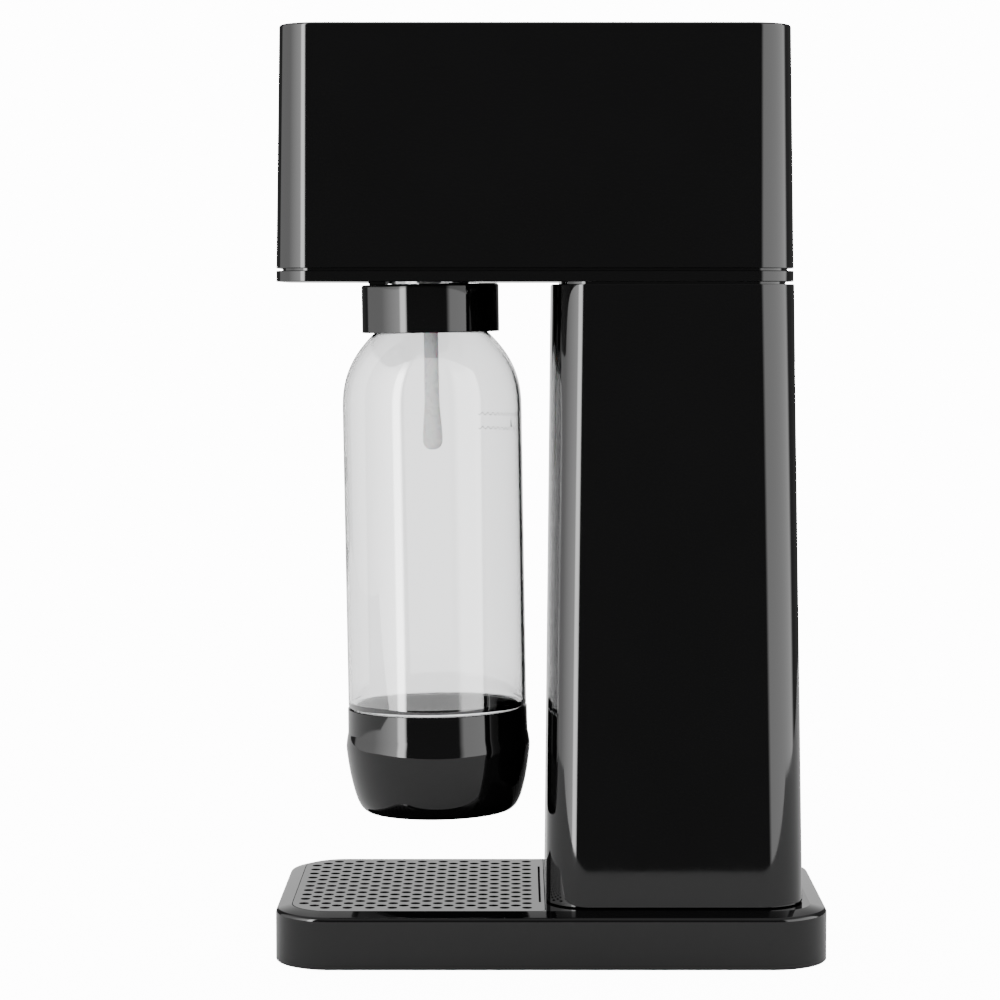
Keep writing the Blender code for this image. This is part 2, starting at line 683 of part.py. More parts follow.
def make_head_shell():
    rings = [level(head_outline(0), SHELL_BOTTOM)]
    for step in range(4):
        angle = 0.5 * math.pi * step / 3
        inset = HEAD_DRAFT + HEAD_FILLET * (1 - math.cos(angle))
        z = OVERALL_HEIGHT - HEAD_FILLET * (1 - math.sin(angle))
        rings.append(level(head_outline(inset), z))
    shell = shape("head_shell", add_loft, rings)
    inside = [
        level(head_outline(HEAD_WALL), SHELL_BOTTOM - 0.002),
        level(head_outline(HEAD_WALL), SHELL_BOTTOM + LIP_HEIGHT),
        level(head_outline(HEAD_WALL + HEAD_DRAFT), SHELL_TOP_INSIDE),
    ]
    hollow = shape("head_hollow", add_loft, inside)
    top = OVERALL_HEIGHT + 0.01
    opening = shape("button_opening", add_prism, button_outline(2 * GAP), BUTTON_BOTTOM - 0.005, top)
    cut(shell, hollow, opening)
    paint(shell, *GLOSS_BLACK)


# ---- Button and lever ----------------------------------------------------------------------
def coil_points(radius, z0, z1, turns, steps_per_turn=10):
    count = turns * steps_per_turn
    points = []
    for i in range(count + 1):
        angle = 2 * math.pi * i / steps_per_turn
        z = z0 + (z1 - z0) * i / count
        points.append((radius * math.cos(angle), radius * math.sin(angle), z))
    return points


def wire_object(name, points, radius, sides_resolution):
    """A round tube with filled ends through a list of points."""
    curve = bpy.data.curves.new(name, "CURVE")
    curve.dimensions = "3D"
    curve.bevel_depth = radius
    curve.bevel_resolution = sides_resolution
    curve.use_fill_caps = True
    spline = curve.splines.new("POLY")
    spline.points.add(len(points) - 1)
    for spline_point, point in zip(spline.points, points):
        spline_point.co = (*point, 1.0)
    obj = bpy.data.objects.new(name, curve)
    bpy.context.scene.collection.objects.link(obj)
    return obj


def make_button():
    edge = 0.0006
    rings = [
        level(button_outline(0), BUTTON_BOTTOM),
        level(button_outline(0), BUTTON_TOP - edge),
        level(button_outline(-edge), BUTTON_TOP),
    ]
    button = shape("push_button", add_loft, rings)
    roof = BUTTON_TOP - BUTTON_WALL
    inside = button_outline(-BUTTON_WALL)
    cavity = shape("button_cavity", add_prism, inside, BUTTON_BOTTOM - 0.01, roof)
    tip = LEVER_Z + LEVER_HALF_HEIGHT + GAP
    stem_rings = [
        level(circle_outline(0, BUTTON_Y, STEM_TIP_RADIUS), tip),
        level(circle_outline(0, BUTTON_Y, STEM_RADIUS), tip + STEM_RADIUS - STEM_TIP_RADIUS),
        level(circle_outline(0, BUTTON_Y, STEM_RADIUS), BUTTON_TOP - BUTTON_WALL / 2),
    ]
    stem = shape("button_stem", add_loft, stem_rings)
    cut(button, cavity)
    unite(button, stem)
    paint(button, *GLOSS_BLACK)

    inner = button_outline(2 * GAP)
    outer = button_outline(2 * GAP + 0.002)
    top = SHELL_TOP_INSIDE - GAP
    guide = shape("button_guide", add_prism, outer, GUIDE_FLOOR_BOTTOM, top)
    well = shape("guide_well", add_prism, inner, GUIDE_FLOOR_TOP, top + 0.01)
    bore_outline = circle_outline(0, BUTTON_Y, STEM_RADIUS + 0.0005)
    bore = shape("guide_stem_bore", add_prism, bore_outline, LEVER_Z, GUIDE_FLOOR_TOP + 0.001)
    cut(guide, well, bore)
    paint(guide, *SATIN_BLACK)

    wire = 0.00045
    z0 = GUIDE_FLOOR_TOP + GAP + wire
    z1 = BUTTON_TOP - BUTTON_WALL - GAP - wire
    coil = wire_object("button_spring", coil_points(STEM_RADIUS + 0.0025, z0, z1, 5), wire, 0)
    coil.location = (0, BUTTON_Y, 0)
    paint(coil, *STEEL)


def make_lever():
    x = LEVER_HALF_WIDTH
    front = BUTTON_Y - PIVOT_Y - 0.006
    bar = block("valve_lever", -x, x, front, 0.003, -LEVER_HALF_HEIGHT, LEVER_HALF_HEIGHT)
    bar.location = (0, PIVOT_Y, LEVER_Z)
    hub = rod_x("lever_hub", -x, x, 0, 0, LEVER_PIN_RADIUS + 0.0035, 16)
    bore = rod_x("lever_bore", -2 * x, 2 * x, 0, 0, LEVER_PIN_RADIUS + GAP, 16)
    for guide in (hub, bore):
        guide.location = bar.location
    unite(bar, hub)
    cut(bar, bore)
    paint(bar, *STEEL)

    reach = CHEEK_OFFSET + CHEEK_THICKNESS + 0.0015
    pin = rod_x("lever_pin", -reach, reach, PIVOT_Y, LEVER_Z, LEVER_PIN_RADIUS)
    paint(pin, *STEEL)


def make_valve_frame():
    """Two cheeks on the head plate, joined behind the cylinder by a web."""
    inner = CHEEK_OFFSET
    outer = CHEEK_OFFSET + CHEEK_THICKNESS
    z0 = HEAD_PLATE_TOP + GAP
    z1 = LEVER_Z + 0.008
    front = CYLINDER_Y - 0.015
    rear = PIVOT_Y + 0.0105
    frame = block("valve_frame", inner, outer, front, rear, z0, z1)
    left = block("left_cheek", -outer, -inner, front, rear, z0, z1)
    web_low = z0 + 0.020
    reach = outer - 0.001
    web = block("cheek_web", -reach, reach, rear - 0.0025, rear, web_low, LEVER_Z - 0.008)
    unite(frame, web, left)
    bore = rod_x("pin_bore", -2 * outer, 2 * outer, PIVOT_Y, LEVER_Z, LEVER_PIN_RADIUS + GAP)
    cut(frame, bore)
    paint(frame, *STEEL)


# ---- Gas path ------------------------------------------------------------------------------
def make_cylinder():
    low = CYLINDER_BOTTOM
    shoulder = CYLINDER_TOP - CYLINDER_SHOULDER
    rise = CYLINDER_SHOULDER - 0.006
    profile = [(0, low + 0.004), (0.022, low + 0.004), (0.024, low), (CYLINDER_RADIUS - 0.003, low)]
    profile.append((CYLINDER_RADIUS, low + 0.003))
    for step in range(6):
        angle = 0.5 * math.pi * step / 5
        spread = (CYLINDER_RADIUS - CYLINDER_NECK_RADIUS) * math.cos(angle)
        profile.append((CYLINDER_NECK_RADIUS + spread, shoulder + rise * math.sin(angle)))
    profile += [(CYLINDER_NECK_RADIUS, CYLINDER_TOP), (0, CYLINDER_TOP)]
    cylinder = shape("gas_cylinder", add_turned, profile)
    cylinder.location.y = CYLINDER_Y
    paint(cylinder, (0.45, 0.47, 0.50), 0.35, 0.6)

    z0 = CYLINDER_TOP + GAP
    z1 = z0 + VALVE_HEIGHT
    stem = VALVE_RADIUS - 0.0025
    profile = [(0, z0), (stem, z0), (stem, z0 + 0.003), (VALVE_RADIUS, z0 + 0.003)]
    profile += [(VALVE_RADIUS, z1 - 0.001), (VALVE_RADIUS - 0.001, z1), (0, z1)]
    valve = shape("cylinder_valve", add_turned, profile)
    valve.location.y = CYLINDER_Y
    paint(valve, *BRASS)

    seal_low = z1 + GAP
    seal_top = BLOCK_BOTTOM + BLOCK_SOCKET_DEPTH - GAP
    profile = [(0.004, seal_low), (0.008, seal_low), (0.008, seal_top), (0.004, seal_top)]
    seal = shape("cylinder_seal", add_turned, profile)
    seal.location.y = CYLINDER_Y
    paint(seal, *RUBBER)


def make_valve_block():
    x = BLOCK_HALF_WIDTH
    front = CYLINDER_Y - x
    body = block("valve_block", -x, x, front, CYLINDER_Y + x, BLOCK_BOTTOM, BLOCK_TOP)
    arm = CHEEK_OFFSET - GAP
    depth = (CYLINDER_Y - 0.012, CYLINDER_Y + 0.012)
    wing = block("block_wings", -arm, arm, *depth, BLOCK_TOP - 0.008, BLOCK_TOP - 0.003)
    unite(body, wing)
    socket_top = BLOCK_BOTTOM + BLOCK_SOCKET_DEPTH
    socket = circle_outline(0, CYLINDER_Y, VALVE_RADIUS + 0.0005)
    bore = circle_outline(0, CYLINDER_Y, ACTUATOR_RADIUS + GAP, SMALL_ROUND)
    cut(
        body,
        shape("block_socket", add_prism, socket, BLOCK_BOTTOM - 0.01, socket_top),
        shape("block_bore", add_prism, bore, socket_top - 0.005, BLOCK_TOP + 0.01),
    )
    paint(body, *BRASS)

    low = socket_top + 0.0016
    top = LEVER_Z - LEVER_HALF_HEIGHT - GAP
    profile = [(0, low), (ACTUATOR_RADIUS, low), (ACTUATOR_RADIUS, top), (0, top)]
    pin = shape("actuator_pin", add_turned, profile, SMALL_ROUND)
    pin.location.y = CYLINDER_Y
    paint(pin, *STEEL)


def barb_profile(length):
    """A hose fitting: hexagon-sized collar, then a narrower spigot."""
    return [(0, 0), (0.0045, 0), (0.0045, 0.003), (0.0030, 0.003), (0.0030, length), (0, length)]


def smooth_path(points, steps):
    """Catmull-Rom curve through the route's own points."""
    knots = [Vector(point) for point in points]
    knots = [2 * knots[0] - knots[1], *knots, 2 * knots[-1] - knots[-2]]
    path = []
    for a, b, c, d in zip(knots, knots[1:], knots[2:], knots[3:]):
        for i in range(steps):
            t = i / steps
            square = (2 * a - 5 * b + 4 * c - d) * t**2
            cube = (3 * b - a - 3 * c + d) * t**3
            path.append(0.5 * (2 * b + (c - a) * t + square + cube))
    path.append(knots[-2])
    return path


def make_hose():
    block_front = CYLINDER_Y - BLOCK_HALF_WIDTH
    outlet_z = BLOCK_TOP - 0.022
    outlet = shape("outlet_fitting", add_turned, barb_profile(FITTING_LENGTH), 12)
    aim(outlet, (0, -1, 0), (HOSE_X, block_front - GAP, outlet_z))
    paint(outlet, *BRASS)
    inlet = shape("hinge_fitting", add_turned, barb_profile(HINGE_FITTING_LENGTH), 12)
    aim(inlet, (1, 0, 0), (HINGE_FITTING_START, HINGE_Y, HINGE_Z))
    paint(inlet, *BRASS)
    start_y = block_front - GAP - FITTING_LENGTH - GAP
    end_x = HINGE_FITTING_START + HINGE_FITTING_LENGTH + GAP
    route = [
        (HOSE_X, start_y, outlet_z),
        (HOSE_X + 0.001, start_y - 0.012, outlet_z),
        (0.020, start_y - 0.040, outlet_z - 0.007),
        (0.033, HINGE_Y + 0.050, HINGE_Z + 0.016),
        (0.0405, HINGE_Y + 0.022, HINGE_Z + 0.005),
        (0.0400, HINGE_Y + 0.007, HINGE_Z + 0.001),
        (0.0350, HINGE_Y + 0.0005, HINGE_Z),
        (end_x, HINGE_Y, HINGE_Z),
    ]
    hose = wire_object("gas_hose", smooth_path(route, 4), HOSE_RADIUS, 2)
    paint(hose, *SATIN_BLACK)


def make_relief_valve():
    z = BLOCK_TOP - RELIEF_DROP
    start = (BLOCK_HALF_WIDTH + GAP, CYLINDER_Y, z)
    bore = 0.0038
    length = 0.0117
    profile = [(0.0012, 0), (0.006, 0), (0.006, length), (bore, length), (bore, 0.0022), (0.0012, 0.0022)]
    body = aim(shape("relief_body", add_turned, profile, 16), (1, 0, 0), start)
    paint(body, *BRASS)
    disc = bore - 0.0004
    profile = [(0, 0.0025), (disc, 0.0025), (disc, 0.0042), (0.001, 0.0042), (0.001, 0.006), (0, 0.006)]
    poppet = aim(shape("relief_poppet", add_turned, profile, 12), (1, 0, 0), (0, 0, 0))
    poppet.location = start
    paint(poppet, *RUBBER)
    wire = 0.00035
    turns = coil_points(0.0025, 0.0042 + GAP + wire, length - GAP, 4)
    points = [(start[0] + h, start[1] + x, start[2] + y) for x, y, h in turns]
    coil = wire_object("relief_spring", points, wire, 0)
    paint(coil, *STEEL)
    profile = [(0.0015, 0), (0.0055, 0), (0.0055, 0.0012), (0.0015, 0.0012)]
    cap = shape("relief_cap", add_turned, profile, 16)
    aim(cap, (1, 0, 0), (start[0] + length + GAP, CYLINDER_Y, z))
    paint(cap, *BRASS)
    profile = [(0, 0), (0.0055, 0), (0.0055, 0.006), (0.002, 0.006), (0.002, 0.0045), (0, 0.0045)]
    burst = shape("burst_disc_cap", add_turned, profile, 6)
    aim(burst, (-1, 0, 0), (-start[0], CYLINDER_Y, z))
    paint(burst, *BRASS)


# ---- Bottle holder: made about its hinge, then leaned as a whole ---------------------------
def holder_frame():
    frame = bpy.data.objects.new("holder_frame", None)
    frame.location = (0, HINGE_Y, HINGE_Z)
    frame.rotation_euler.x = LEAN
    bpy.context.scene.collection.objects.link(frame)
    return frame


def hang(frame, y, *objects):
    """Parent objects to the holder's frame, y behind the hinge axis."""
    for obj in objects:
        obj.parent = frame
        obj.location = (0, y, 0)


def make_hinge():
    cheek_inner = EAR_OUTER + 0.0015
    cheek_outer = cheek_inner + 0.0035
    low = HEAD_PLATE_TOP + GAP
    high = HINGE_Z + 0.006
    rear = HINGE_Y + 0.007
    front = HINGE_Y - 0.011
    bracket = block("holder_bracket", cheek_inner, cheek_outer, front, rear, low, high)
    left = block("bracket_left", -cheek_outer, -cheek_inner, front, rear, low, high)
    reach = cheek_inner + 0.001
    bridge = block("bracket_bridge", -reach, reach, front, front + 0.003, low, low + 0.004)
    unite(bracket, bridge, left)
    bore_radius = HINGE_PIN_RADIUS + GAP
    bore = rod_x("bracket_bore", -0.05, 0.05, HINGE_Y, HINGE_Z, bore_radius, HINGE_SIDES)
    cut(bracket, bore)
    paint(bracket, *STEEL)
    ends = (-cheek_outer - 0.001, HINGE_FITTING_START - GAP)
    pin = rod_x("hinge_pin", *ends, HINGE_Y, HINGE_Z, HINGE_PIN_RADIUS, HINGE_SIDES)
    cut(pin, rod_x("pin_bore_gas", 0, 0.05, HINGE_Y, HINGE_Z, 0.0012, 8))
    paint(pin, *STEEL)


def make_holder(frame):
    inner = RING_RADIUS - RING_WALL
    hole = COLLAR_RADIUS + GAP
    ceiling = RING_TOP - RING_ROOF
    profile = [(inner, RING_BOTTOM), (RING_RADIUS, RING_BOTTOM)]
    profile += arc(RING_RADIUS - RING_EDGE, RING_TOP - RING_EDGE, RING_EDGE, 0, 90, 2)
    profile += [(hole, RING_TOP), (hole, ceiling), (inner, ceiling)]
    ring = shape("holder_ring", add_turned, profile, 32)
    ring.data.transform(Matrix.Translation((0, BOTTLE_OFFSET, 0)))
    foot = RING_TOP - 0.001
    outline = [(0, -0.004), (0.004, foot), (0.011, foot), (0.011, -0.006), (0.003, 0.004)]
    ears = []
    for side in (-1, 1):
        x0, x1 = sorted((side * EAR_INNER, side * EAR_OUTER))
        ears.append(plate_x(f"ear_post_{side}", outline, x0, x1))
        ears.append(rod_x(f"ear_hub_{side}", x0, x1, 0, 0, HINGE_PIN_RADIUS + 0.002, HINGE_SIDES))
    bore = rod_x("ear_bore", -0.05, 0.05, 0, 0, HINGE_PIN_RADIUS + GAP, HINGE_SIDES)
    unite(ring, *ears)
    cut(ring, bore)
    hang(frame, 0, ring, bore, *ears)
    paint(ring, *GLOSS_BLACK)

    bore_radius = NECK_RADIUS + GAP
    collar_low = NECK_FOOT + 0.0014
    rest = RING_TOP + GAP
    profile = [
        (bore_radius, collar_low),
        (COLLAR_RADIUS, collar_low),
        (COLLAR_RADIUS, rest),
        (COLLAR_RADIUS + 0.0033, rest),
        (COLLAR_RADIUS + 0.0033, FLANGE_TOP),
        (bore_radius, FLANGE_TOP),
    ]
    collar = shape("holder_collar", add_turned, profile)
    paint(collar, *STEEL)

    profile = [(0.007, BOTTLE_TOP + GAP), (NECK_RADIUS - GAP, BOTTLE_TOP + GAP)]
    profile += [(NECK_RADIUS - GAP, FLANGE_TOP), (0.007, FLANGE_TOP)]
    seal = shape("neck_seal", add_turned, profile)
    paint(seal, *RUBBER)
    hang(frame, BOTTLE_OFFSET, collar, seal)


def tube_outline(steps):
    """The tube's outer (radius, height) line, from its round tip up to its top."""
    tip = RING_BOTTOM - TUBE_LENGTH
    points = []
    for step in range(steps + 1):
        angle = 0.5 * math.pi * step / steps
        r = TUBE_BORE + (TUBE_TIP_RADIUS - TUBE_BORE) * math.sin(angle)
        points.append((r, tip + DROP_ROUND * (1 - math.cos(angle))))
    for step in range(1, steps + 1):
        t = step / steps
        ease = t * t * (3 - 2 * t)
        r = TUBE_TIP_RADIUS + (TUBE_TOP_RADIUS - TUBE_TIP_RADIUS) * ease
        points.append((r, tip + DROP_ROUND + (DROP_LENGTH - DROP_ROUND) * t))
    return points + [(TUBE_TOP_RADIUS, 0)]


def make_nozzle(frame):
    flange = NOZZLE_FLANGE_RADIUS
    flange_top = NOZZLE_BOTTOM + 0.0038
    hub = 0.009
    profile = [(0, NOZZLE_BOTTOM), (flange, NOZZLE_BOTTOM), (flange, flange_top)]
    profile += [(hub, flange_top), (hub, 0.004), (0, 0.004)]
    head = shape("nozzle_head", add_turned, profile)
    head.data.transform(Matrix.Translation((0, BOTTLE_OFFSET, 0)))
    arm = block("nozzle_arm", -0.004, 0.004, 0, BOTTLE_OFFSET - 0.003, -0.003, 0.003)
    reach = EAR_INNER - 0.0005
    hinge_hub = rod_x("nozzle_hub", -reach, reach, 0, 0, HINGE_PIN_RADIUS + 0.0025, HINGE_SIDES)
    unite(head, arm, hinge_hub)
    hinge_bore = rod_x("nozzle_hinge_bore", -0.05, 0.05, 0, 0, HINGE_PIN_RADIUS + GAP, HINGE_SIDES)
    socket = circle_outline(0, BOTTLE_OFFSET, TUBE_TOP_RADIUS + GAP, SMALL_ROUND)
    socket = shape("tube_socket", add_prism, socket, NOZZLE_BOTTOM - 0.01, 0.0005)
    cut(head, hinge_bore, socket)
    hang(frame, 0, head, arm, hinge_hub, hinge_bore, socket)
    paint(head, *SATIN_BLACK)

    tube = shape("carbonation_tube", add_turned, [(TUBE_BORE, 0)] + tube_outline(5), 16)
    hang(frame, BOTTLE_OFFSET, tube)
    paint(tube, *NATURAL_PLASTIC)


# ---- Bottle --------------------------------------------------------------------------------


def foot_curve(shrink, lift):
    """The bottle's rounded bottom, from its side down to its flat, shrunk and lifted."""
    points = []
    side = BOTTLE_RADIUS - FOOT_STEP
    for step in range(5):
        angle = 0.5 * math.pi * step / 4
        r = FOOT_FLAT + (side - FOOT_FLAT) * math.cos(angle) - shrink
        z = CUP_TOP - FOOT_STRAIGHT - (FOOT_DEPTH - FOOT_STRAIGHT - lift) * math.sin(angle)
        points.append((r, z))
    return points


def shoulder_curve(shrink):
    points = []
    for step in range(8):
        t = 1 - step / 7
        drop = (BOTTLE_RADIUS - BOTTLE_SHOULDER_RADIUS) * t**SHOULDER_POWER
        points.append((BOTTLE_RADIUS - drop - shrink, RING_BOTTOM - BOTTLE_SHOULDER_LENGTH * (1 - t)))
    return points


def neck_curve(shrink):
    """From the mouth down to the shoulder."""
    reach = BOTTLE_SHOULDER_RADIUS - NECK_RADIUS
    return [
        (NECK_RADIUS - shrink, BOTTLE_TOP),
        (NECK_RADIUS - shrink, NECK_FOOT),
        (NECK_RADIUS + 0.15 * reach - shrink, NECK_FOOT - 0.0012),
        (NECK_RADIUS + 0.58 * reach - shrink, NECK_FOOT - 0.0037),
    ]


def make_bottle(frame):
    side = BOTTLE_RADIUS - FOOT_STEP
    outer = neck_curve(0) + shoulder_curve(0)
    outer += [(BOTTLE_RADIUS, CUP_TOP + 0.0012), (BOTTLE_RADIUS - 0.0008, CUP_TOP + GAP)]
    outer += [(side, CUP_TOP + GAP)]
    outer += foot_curve(0, 0) + [(0, CUP_TOP - FOOT_DEPTH)]
    wall = BOTTLE_WALL
    neck_wall = wall + 0.0004
    inner = neck_curve(neck_wall) + shoulder_curve(wall)
    inner += [(BOTTLE_RADIUS - wall, CUP_TOP + 0.0030), (side - wall, CUP_TOP + 0.0010)]
    inner += foot_curve(wall, wall) + [(0, CUP_TOP - FOOT_DEPTH + wall)]
    bottle = shape("bottle_body", add_turned, outer + list(reversed(inner)))
    paint(bottle, *CLEAR)

    outer = [
        (BOTTLE_RADIUS + 0.0003, CUP_TOP),
        (BOTTLE_RADIUS + 0.0004, CUP_TOP - 0.0112),
        (BOTTLE_RADIUS + 0.0012, CUP_TOP - 0.0160),
        (BOTTLE_RADIUS + 0.0012, CUP_TOP - 0.0200),
        (BOTTLE_RADIUS - 0.0003, CUP_TOP - 0.0305),
        (BOTTLE_RADIUS - 0.0026, CUP_TOP - 0.0400),
        (BOTTLE_RADIUS - 0.0048, CUP_TOP - 0.0450),
        (BOTTLE_RADIUS - 0.0072, CUP_TOP - 0.0474),
        (BOTTLE_RADIUS - 0.0095, CUP_TOP - CUP_HEIGHT),
        (BOTTLE_RADIUS - 0.0130, CUP_TOP - CUP_HEIGHT),
        (BOTTLE_RADIUS - 0.0150, CUP_TOP - CUP_HEIGHT + 0.002),
        (0, CUP_TOP - CUP_HEIGHT + 0.002),
    ]
    inner = [(side + GAP, CUP_TOP)] + foot_curve(-GAP, -GAP) + [(0, CUP_TOP - FOOT_DEPTH - GAP)]
    cup = shape("bottle_cup", add_turned, outer + list(reversed(inner)), 32)
    paint(cup, *GLOSS_BLACK)
    hang(frame, BOTTLE_OFFSET, bottle, cup)


def main():
    for obj in list(bpy.data.objects):
        bpy.data.objects.remove(obj)
    make_base_shell()
    make_base_plate()
    make_feet()
    make_base_screws()
    make_drip_tray()
    make_drip_grille()
    make_tower()
    make_posts()
    make_cylinder_guide()
    make_head_plate()
    make_head_shell()
    make_button()
    make_lever()
    make_valve_frame()
    make_cylinder()
    make_valve_block()
    make_hose()
    make_relief_valve()
    make_hinge()
    frame = holder_frame()
    make_holder(frame)
    make_nozzle(frame)
    make_bottle(frame)


main()
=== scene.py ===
"""Looks of the soda carbonator: finer shells, clear bottle, materials, floor, light and camera."""
import json
import math

import bmesh
import bpy
from mathutils import Matrix, Vector


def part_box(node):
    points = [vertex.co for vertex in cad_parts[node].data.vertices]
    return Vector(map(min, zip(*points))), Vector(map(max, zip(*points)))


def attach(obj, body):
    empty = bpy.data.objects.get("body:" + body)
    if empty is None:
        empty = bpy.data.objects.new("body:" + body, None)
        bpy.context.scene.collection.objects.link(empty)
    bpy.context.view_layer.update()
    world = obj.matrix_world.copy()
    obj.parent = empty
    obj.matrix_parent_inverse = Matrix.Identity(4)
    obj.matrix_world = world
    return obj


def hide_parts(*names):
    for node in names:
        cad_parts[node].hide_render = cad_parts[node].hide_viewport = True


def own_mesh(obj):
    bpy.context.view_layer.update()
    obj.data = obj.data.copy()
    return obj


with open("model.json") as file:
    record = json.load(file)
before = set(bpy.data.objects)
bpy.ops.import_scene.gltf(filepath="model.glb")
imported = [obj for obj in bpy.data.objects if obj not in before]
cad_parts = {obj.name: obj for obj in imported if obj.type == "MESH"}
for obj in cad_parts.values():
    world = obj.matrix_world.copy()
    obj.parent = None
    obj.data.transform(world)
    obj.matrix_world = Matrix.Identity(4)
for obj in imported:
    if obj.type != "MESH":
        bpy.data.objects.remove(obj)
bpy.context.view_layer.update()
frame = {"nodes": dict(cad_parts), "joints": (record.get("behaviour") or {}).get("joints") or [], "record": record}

# ---- Sizes that a node's box doesn't tell (metres) -------------------------------------------
GAP = 0.0003
CORNER_STEPS = 20
ROUND = 96
ROD_SIDES = 48
SHARP_ANGLE = 30   # degrees from which an edge stays sharp
SOFT_ANGLE = 40    # degrees from which a hard edge gets a small round
EDGE = 0.0003      # the usual small round or bevel at a moulding's rim
SINK = 0.001       # how far shapes that are joined sink into each other
CUT_REACH = 0.01   # how far a cutter reaches past a plate's faces
BORE_REACH = 0.05  # and how far a bore's cutter reaches to each side
NOISE_RANGE = (0.3, 0.7)  # where nearly all of a noise's values lie
BASE_CORNER = 0.026
BASE_WALL = 0.0025
BASE_FILLET = 0.0020
BASE_FILLET_STEPS = 10
BASE_FOOT_ROUND = 0.0005
BASE_SHARP_ANGLE = 11
BASE_ROOF = 0.0006
BAY_MARGIN = 0.004
RIM_WIDTH = 0.0075
RIM_ANGLE = math.radians(15.0)
GRILLE_CORNER = 0.0184
GRILLE_REAR_CORNER = 0.0030
HOLE_RADIUS = 0.0022
HOLE_PITCH = 0.0050
HOLE_COLUMNS = 21
HOLE_ROWS = 12
HOLE_FRONT_MARGIN = 0.00515
HOLE_SIDES = 20
SLOT_LENGTH = 0.0850
SLOT_WIDTH = 0.0010
SLOT_MARGIN = 0.0021
SLOT_END = 0.49  # the slot's end radius as a share of its width
GRILLE_EDGE = 0.00018
TOWER_CORNER = 0.0200
TOWER_WALL = 0.0036
TOWER_EDGE = 0.0004
WINDOW_FRONT = 0.08
WINDOW_REAR = 0.2
TOWER_DRAFT_X = 0.0043
TOWER_DRAFT_FRONT = 0.0027
TOWER_DRAFT_REAR = 0.0049
SUPPORT = 0.0008  # height of the straight band kept below a rounded edge
HEAD_WALL = 0.0025
HEAD_DRAFT = 0.0018
HEAD_FILLET = 0.0012
HEAD_FILLET_STEPS = 8
HEAD_PLATE_THICKNESS = 0.0049
LIP_HEIGHT = 0.0060
LIP_THICKNESS = 0.0020
PORT_MARGIN = 0.003
NECK_OPENING = 0.024
EAR_SIDE_MARGIN = 0.001
EAR_FRONT_MARGIN = 0.002
BUTTON_CORNER = 0.0120
BUTTON_WALL = 0.0020
BUTTON_HEIGHT = 0.0073
BUTTON_EDGE = 0.0006
BUTTON_EDGE_STEPS = 5
STEM_RADIUS = 0.0050
STEM_TIP_RADIUS = 0.0020
LEAN = math.radians(0.92)
RING_RADIUS = 0.0314
RING_WALL = 0.0030
RING_HEIGHT = 0.0219
RING_DROP = 0.0119
RING_ROOF = 0.0033
RING_EDGE = 0.0012
RING_EDGE_STEPS = 8
RING_CHAMFER = 0.0008
EAR_INNER = 0.0090
EAR_OUTER = 0.0130
HINGE_PIN_RADIUS = 0.0030
HUB_WALL = 0.002
COLLAR_RADIUS = 0.0177
BOTTLE_OFFSET = 0.0307
BOTTLE_RADIUS = 0.0410
BOTTLE_WALL = 0.0016
BOTTLE_SHOULDER_RADIUS = 0.0258
BOTTLE_SHOULDER_LENGTH = 0.0357
BOTTLE_LENGTH = 0.1720
SHOULDER_POWER = 2.5
SHOULDER_STEPS = 32
BOTTLE_SIDES = 128
NECK_RADIUS = 0.0155
NECK_CURVE = ((0.15, 0.0012), (0.58, 0.0037))  # share of the way out to the shoulder, and the drop
CUP_HEIGHT = 0.0480
CUP_SKIRT_STEPS = 6
# The cup's skirt: how far outside the bottle's radius, and how far below the cup's top
CUP_SKIRT = (
    (0.0004, 0.0112), (0.0012, 0.0160), (0.0012, 0.0200), (-0.0003, 0.0305),
    (-0.0026, 0.0400), (-0.0048, 0.0450), (-0.0072, 0.0474), (-0.0095, CUP_HEIGHT),
)
FOOT_STEP = 0.0020
FOOT_STRAIGHT = 0.0240
FOOT_DEPTH = 0.0380
FOOT_FLAT = 0.0300
FOOT_STEPS = 16
TUBE_TOP_RADIUS = 0.00335
TUBE_TIP_RADIUS = 0.00456
TUBE_LENGTH = 0.0537
TUBE_BORE = 0.0012
DROP_LENGTH = 0.0240
DROP_ROUND = 0.0045
TUBE_STEPS = 16
TUBE_SIDES = 64
FILL_START = math.radians(92)
FILL_END = math.radians(149)
MARK_ANGLE = math.radians(113)
MARK_WIDTH = 0.0034
MARK_HEIGHT = 0.0050
FILL_STEPS = 240
FILL_WAVES = 12
FILL_WAVE = 0.0006
FILL_LINE_WIDTH = 0.00050
PRINT_LIFT = 0.00004
FLOOR_FRONT = 2.0
FLOOR_BACK = -1.5
FLOOR_HALF = 1.5
FLOOR_THICKNESS = 0.01
FLOOR_CARD = 0.37
CARD_BOTTOM = -0.0004
CARD_TOP = -0.0002
LENS = 108
SENSOR = 36
SHIFT = -0.016
CAMERA_AT = (1.375, -0.0158, 0.295)
CAMERA_DOWN = 3.8  # degrees below level
WHITE = 14.0     # what the camera sees of the room
FILL = 1.6       # what lights matt surfaces
THROUGH = 2.5    # what shows through clear plastic
MIRRORED = 20.0  # what polished faces mirror, at a share of 1
CEILING = 0.03       # the ceiling that level faces mirror, as a share of MIRRORED
CEILING_FROM = 0.50  # height on the sky dome where the walls start to give way to the ceiling
CEILING_TO = 0.85    # and where only the ceiling is left
# What polished faces mirror round the compass: degrees from +X towards +Y, and its share of MIRRORED
STUDIO = (
    (-180, 0.052), (-168, 0.052), (-160, 0.005), (-130, 0.005), (-126, 0.050), (-87, 0.120),
    (-52, 0.330), (-49, 0.950), (-42, 0.950), (-38, 0.008), (28, 0.008), (35, 0.190),
    (103, 0.220), (112, 0.010), (160, 0.005), (168, 0.052), (180, 0.052),
)

